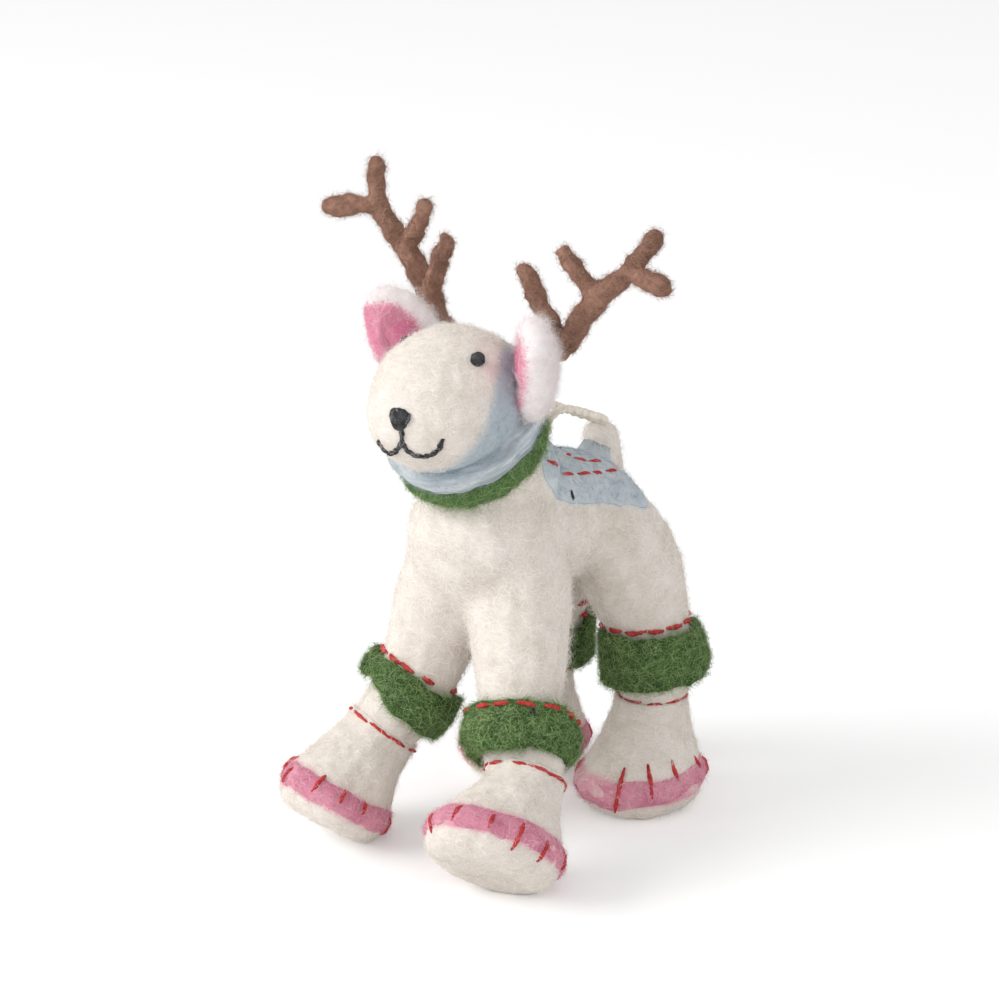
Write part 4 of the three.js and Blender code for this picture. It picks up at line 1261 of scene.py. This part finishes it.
# Ears: soft white wool, each a cupped leaf that is felted to the side of the head at its foot.
# A pink wool lining is needled into its hollow, and its pink hairs run out over the white edge.
ear_overlap = 0.6 * mm
lining_overlap = 0.35 * mm
ear_look = wool_felt("ear_wool", paint(247, 242, 240), paint(238, 229, 228), [("pink", paint(222, 138, 164))])
lining_look = wool_felt(
    "pink_ear_lining", paint(224, 142, 166), paint(206, 108, 142), [("white", paint(243, 234, 233))]
)
ear_hair = loose_wool("ear_hairs", paint(253, 250, 249), paint(238, 229, 230))
pink_outlines = {
    "left": [(500, 345), (510, 330), (522, 337), (528, 360), (528, 385), (524, 405), (516, 428), (500, 420)],
    "right": [(352, 300), (372, 303), (396, 301), (416, 317), (426, 331), (405, 347), (384, 372), (366, 345)],
}
for turn, side in enumerate(("left", "right")):
    ear = joined_copy(side + "_white_ear", [side + "_ear"], ear_overlap)
    needle(ear, stitch=0.4 * mm, passes=6, lumps=[(5 * mm, 0.5 * mm), (2 * mm, 0.2 * mm)], seed=61.0 + turn)
    pink = noted_on_picture(ear, pink_outlines[side], soft=12, tilt=-0.2, ways=(1,))
    note(ear, "pink", pink * 0.85)
    ear.data.materials.append(ear_look)
    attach(ear, "animal")
    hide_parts(side + "_ear")
    note(ear, "fleece", 1 - pink)
    grow_fleece(
        ear, ear_hair, "white_wool", seed=101 + turn, per_mm2=9.0, length=2.8 * mm, radius=0.024 * mm, lean=62
    )
    note(ear, "fleece", pink)
    grow_fleece(
        ear, pink_hair, "pink_wool", seed=105 + turn, per_mm2=7.0,
        length=1.9 * mm, radius=0.024 * mm, lean=72, kind="pink_hairs",
    )
    lining = joined_copy(side + "_pink_lining", [side + "_ear_lining"], lining_overlap)
    needle(lining, stitch=0.36 * mm, passes=5, lumps=[(4 * mm, 0.35 * mm), (1.6 * mm, 0.16 * mm)], seed=71.0 + turn)
    note(lining, "white", 1 - noted_on_picture(lining, pink_outlines["right"], soft=16, tilt=-1.0))
    lining.data.materials.append(lining_look)
    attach(lining, "animal")
    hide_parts(side + "_ear_lining")
    grow_fleece(
        lining, pink_hair, "pink_wool", seed=111 + turn, per_mm2=4.0,
        length=1.4 * mm, radius=0.024 * mm, lean=72, curl=0.7,
    )


# Antlers: brown wool wound tight round a bent wire, branch by branch, and set into the back of the head.
# The wire inside lets each antler be bent a little at its root.
brown_light, brown_shade = paint(170, 130, 112), paint(122, 90, 76)
antler_look = wool_felt("brown_wound_wool", brown_light, brown_shade, fibre=1900.0, depth=0.00025, deeps=0.8)
brown_hair = loose_wool("brown_hairs", paint(198, 160, 140), paint(114, 80, 66))
wire_look, wire_tree, wire_shader = new_material("drawn_wire")
wire_grain = flecks(wire_tree, add_node(wire_tree, "ShaderNodeTexCoord").outputs["Object"], 2000.0)
feed(wire_tree, wire_shader, {
    "Base Color": blend(wire_tree, wire_grain, paint(140, 140, 144), paint(176, 176, 178)),
    "Metallic": 1.0,
    "Roughness": 0.4,
})
antler_overlap = 0.15 * mm
root_sink, root_length = 1.2 * mm, 6 * mm
bare_root = 3.5 * mm
for turn, side in enumerate(("left", "right")):
    antler = joined_copy(side + "_wound_antler", [side + "_antler"], antler_overlap)
    needle(antler, stitch=0.36 * mm, passes=2, lumps=[(3 * mm, 0.55 * mm), (1.4 * mm, 0.34 * mm)], seed=81.0 + turn)
    sunk = []
    for v in antler.data.vertices:
        by_root = max(0.0, 1 - (v.co - antler_roots[side]).length / root_length)
        sunk.append(v.co + (head_middle - v.co).normalized() * root_sink * by_root)
    move_points(antler, sunk)
    antler.data.materials.append(antler_look)
    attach(antler, side + "_antler")
    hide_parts(side + "_antler")
    low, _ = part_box(side + "_antler")
    note(antler, "fleece", [0.0 if v.co.z < low.z + bare_root else 1.0 for v in antler.data.vertices])
    grow_fleece(
        antler, brown_hair, "brown_wool", seed=121 + turn, per_mm2=9.0,
        length=1.8 * mm, radius=0.034 * mm, lean=70, curl=1.2, body=side + "_antler",
    )
    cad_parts[side + "_antler_wire"].material_slots[0].material = wire_look


# Studio: a plain pale paper floor, which shows white to the camera and keeps the ornament's shadow.
# Even white light comes from all round, with two large soft lamps in front.
floor_half = 3
floor_drop = 0.1 * mm
floor_glow = 0.18
room_glow = 0.67
floor_mesh = bpy.data.meshes.new("paper_floor")
floor_mesh.from_pydata(
    [(x * floor_half, y * floor_half, 0) for x, y in ((-1, -1), (1, -1), (1, 1), (-1, 1))], [], [(0, 1, 2, 3)]
)
floor = placed("paper_floor", floor_mesh)
floor.location.z = -floor_drop
floor_look, floor_tree, floor_shader = new_material("pale_paper")
to_camera = add_node(floor_tree, "ShaderNodeLightPath").outputs["Is Camera Ray"]
feed(floor_tree, floor_shader, {
    "Base Color": (0.98, 0.98, 0.98, 1),
    "Roughness": 1.0,
    "Specular IOR Level": 0.0,
    "Emission Color": (1, 1, 1, 1),
    "Emission Strength": figure(floor_tree, "MULTIPLY", to_camera, floor_glow),
})
floor_mesh.materials.append(floor_look)

world = bpy.data.worlds.new("white_room")
world.use_nodes = True
feed(world.node_tree, world.node_tree.nodes["Background"], {"Color": (1, 1, 1, 1), "Strength": room_glow})
bpy.context.scene.world = world
for label, place, power, width in (("key", (-0.6, -0.8, 0.62), 8.0, 0.7), ("fill", (0.9, -0.5, 0.6), 1.7, 0.9)):
    lamp_data = bpy.data.lights.new(label + "_lamp", "AREA")
    lamp_data.energy = power
    lamp_data.size = width
    lamp = placed(label + "_lamp", lamp_data)
    lamp.location = place
    lamp.rotation_euler = (Vector(place) - view_target).to_track_quat("Z", "Y").to_euler()
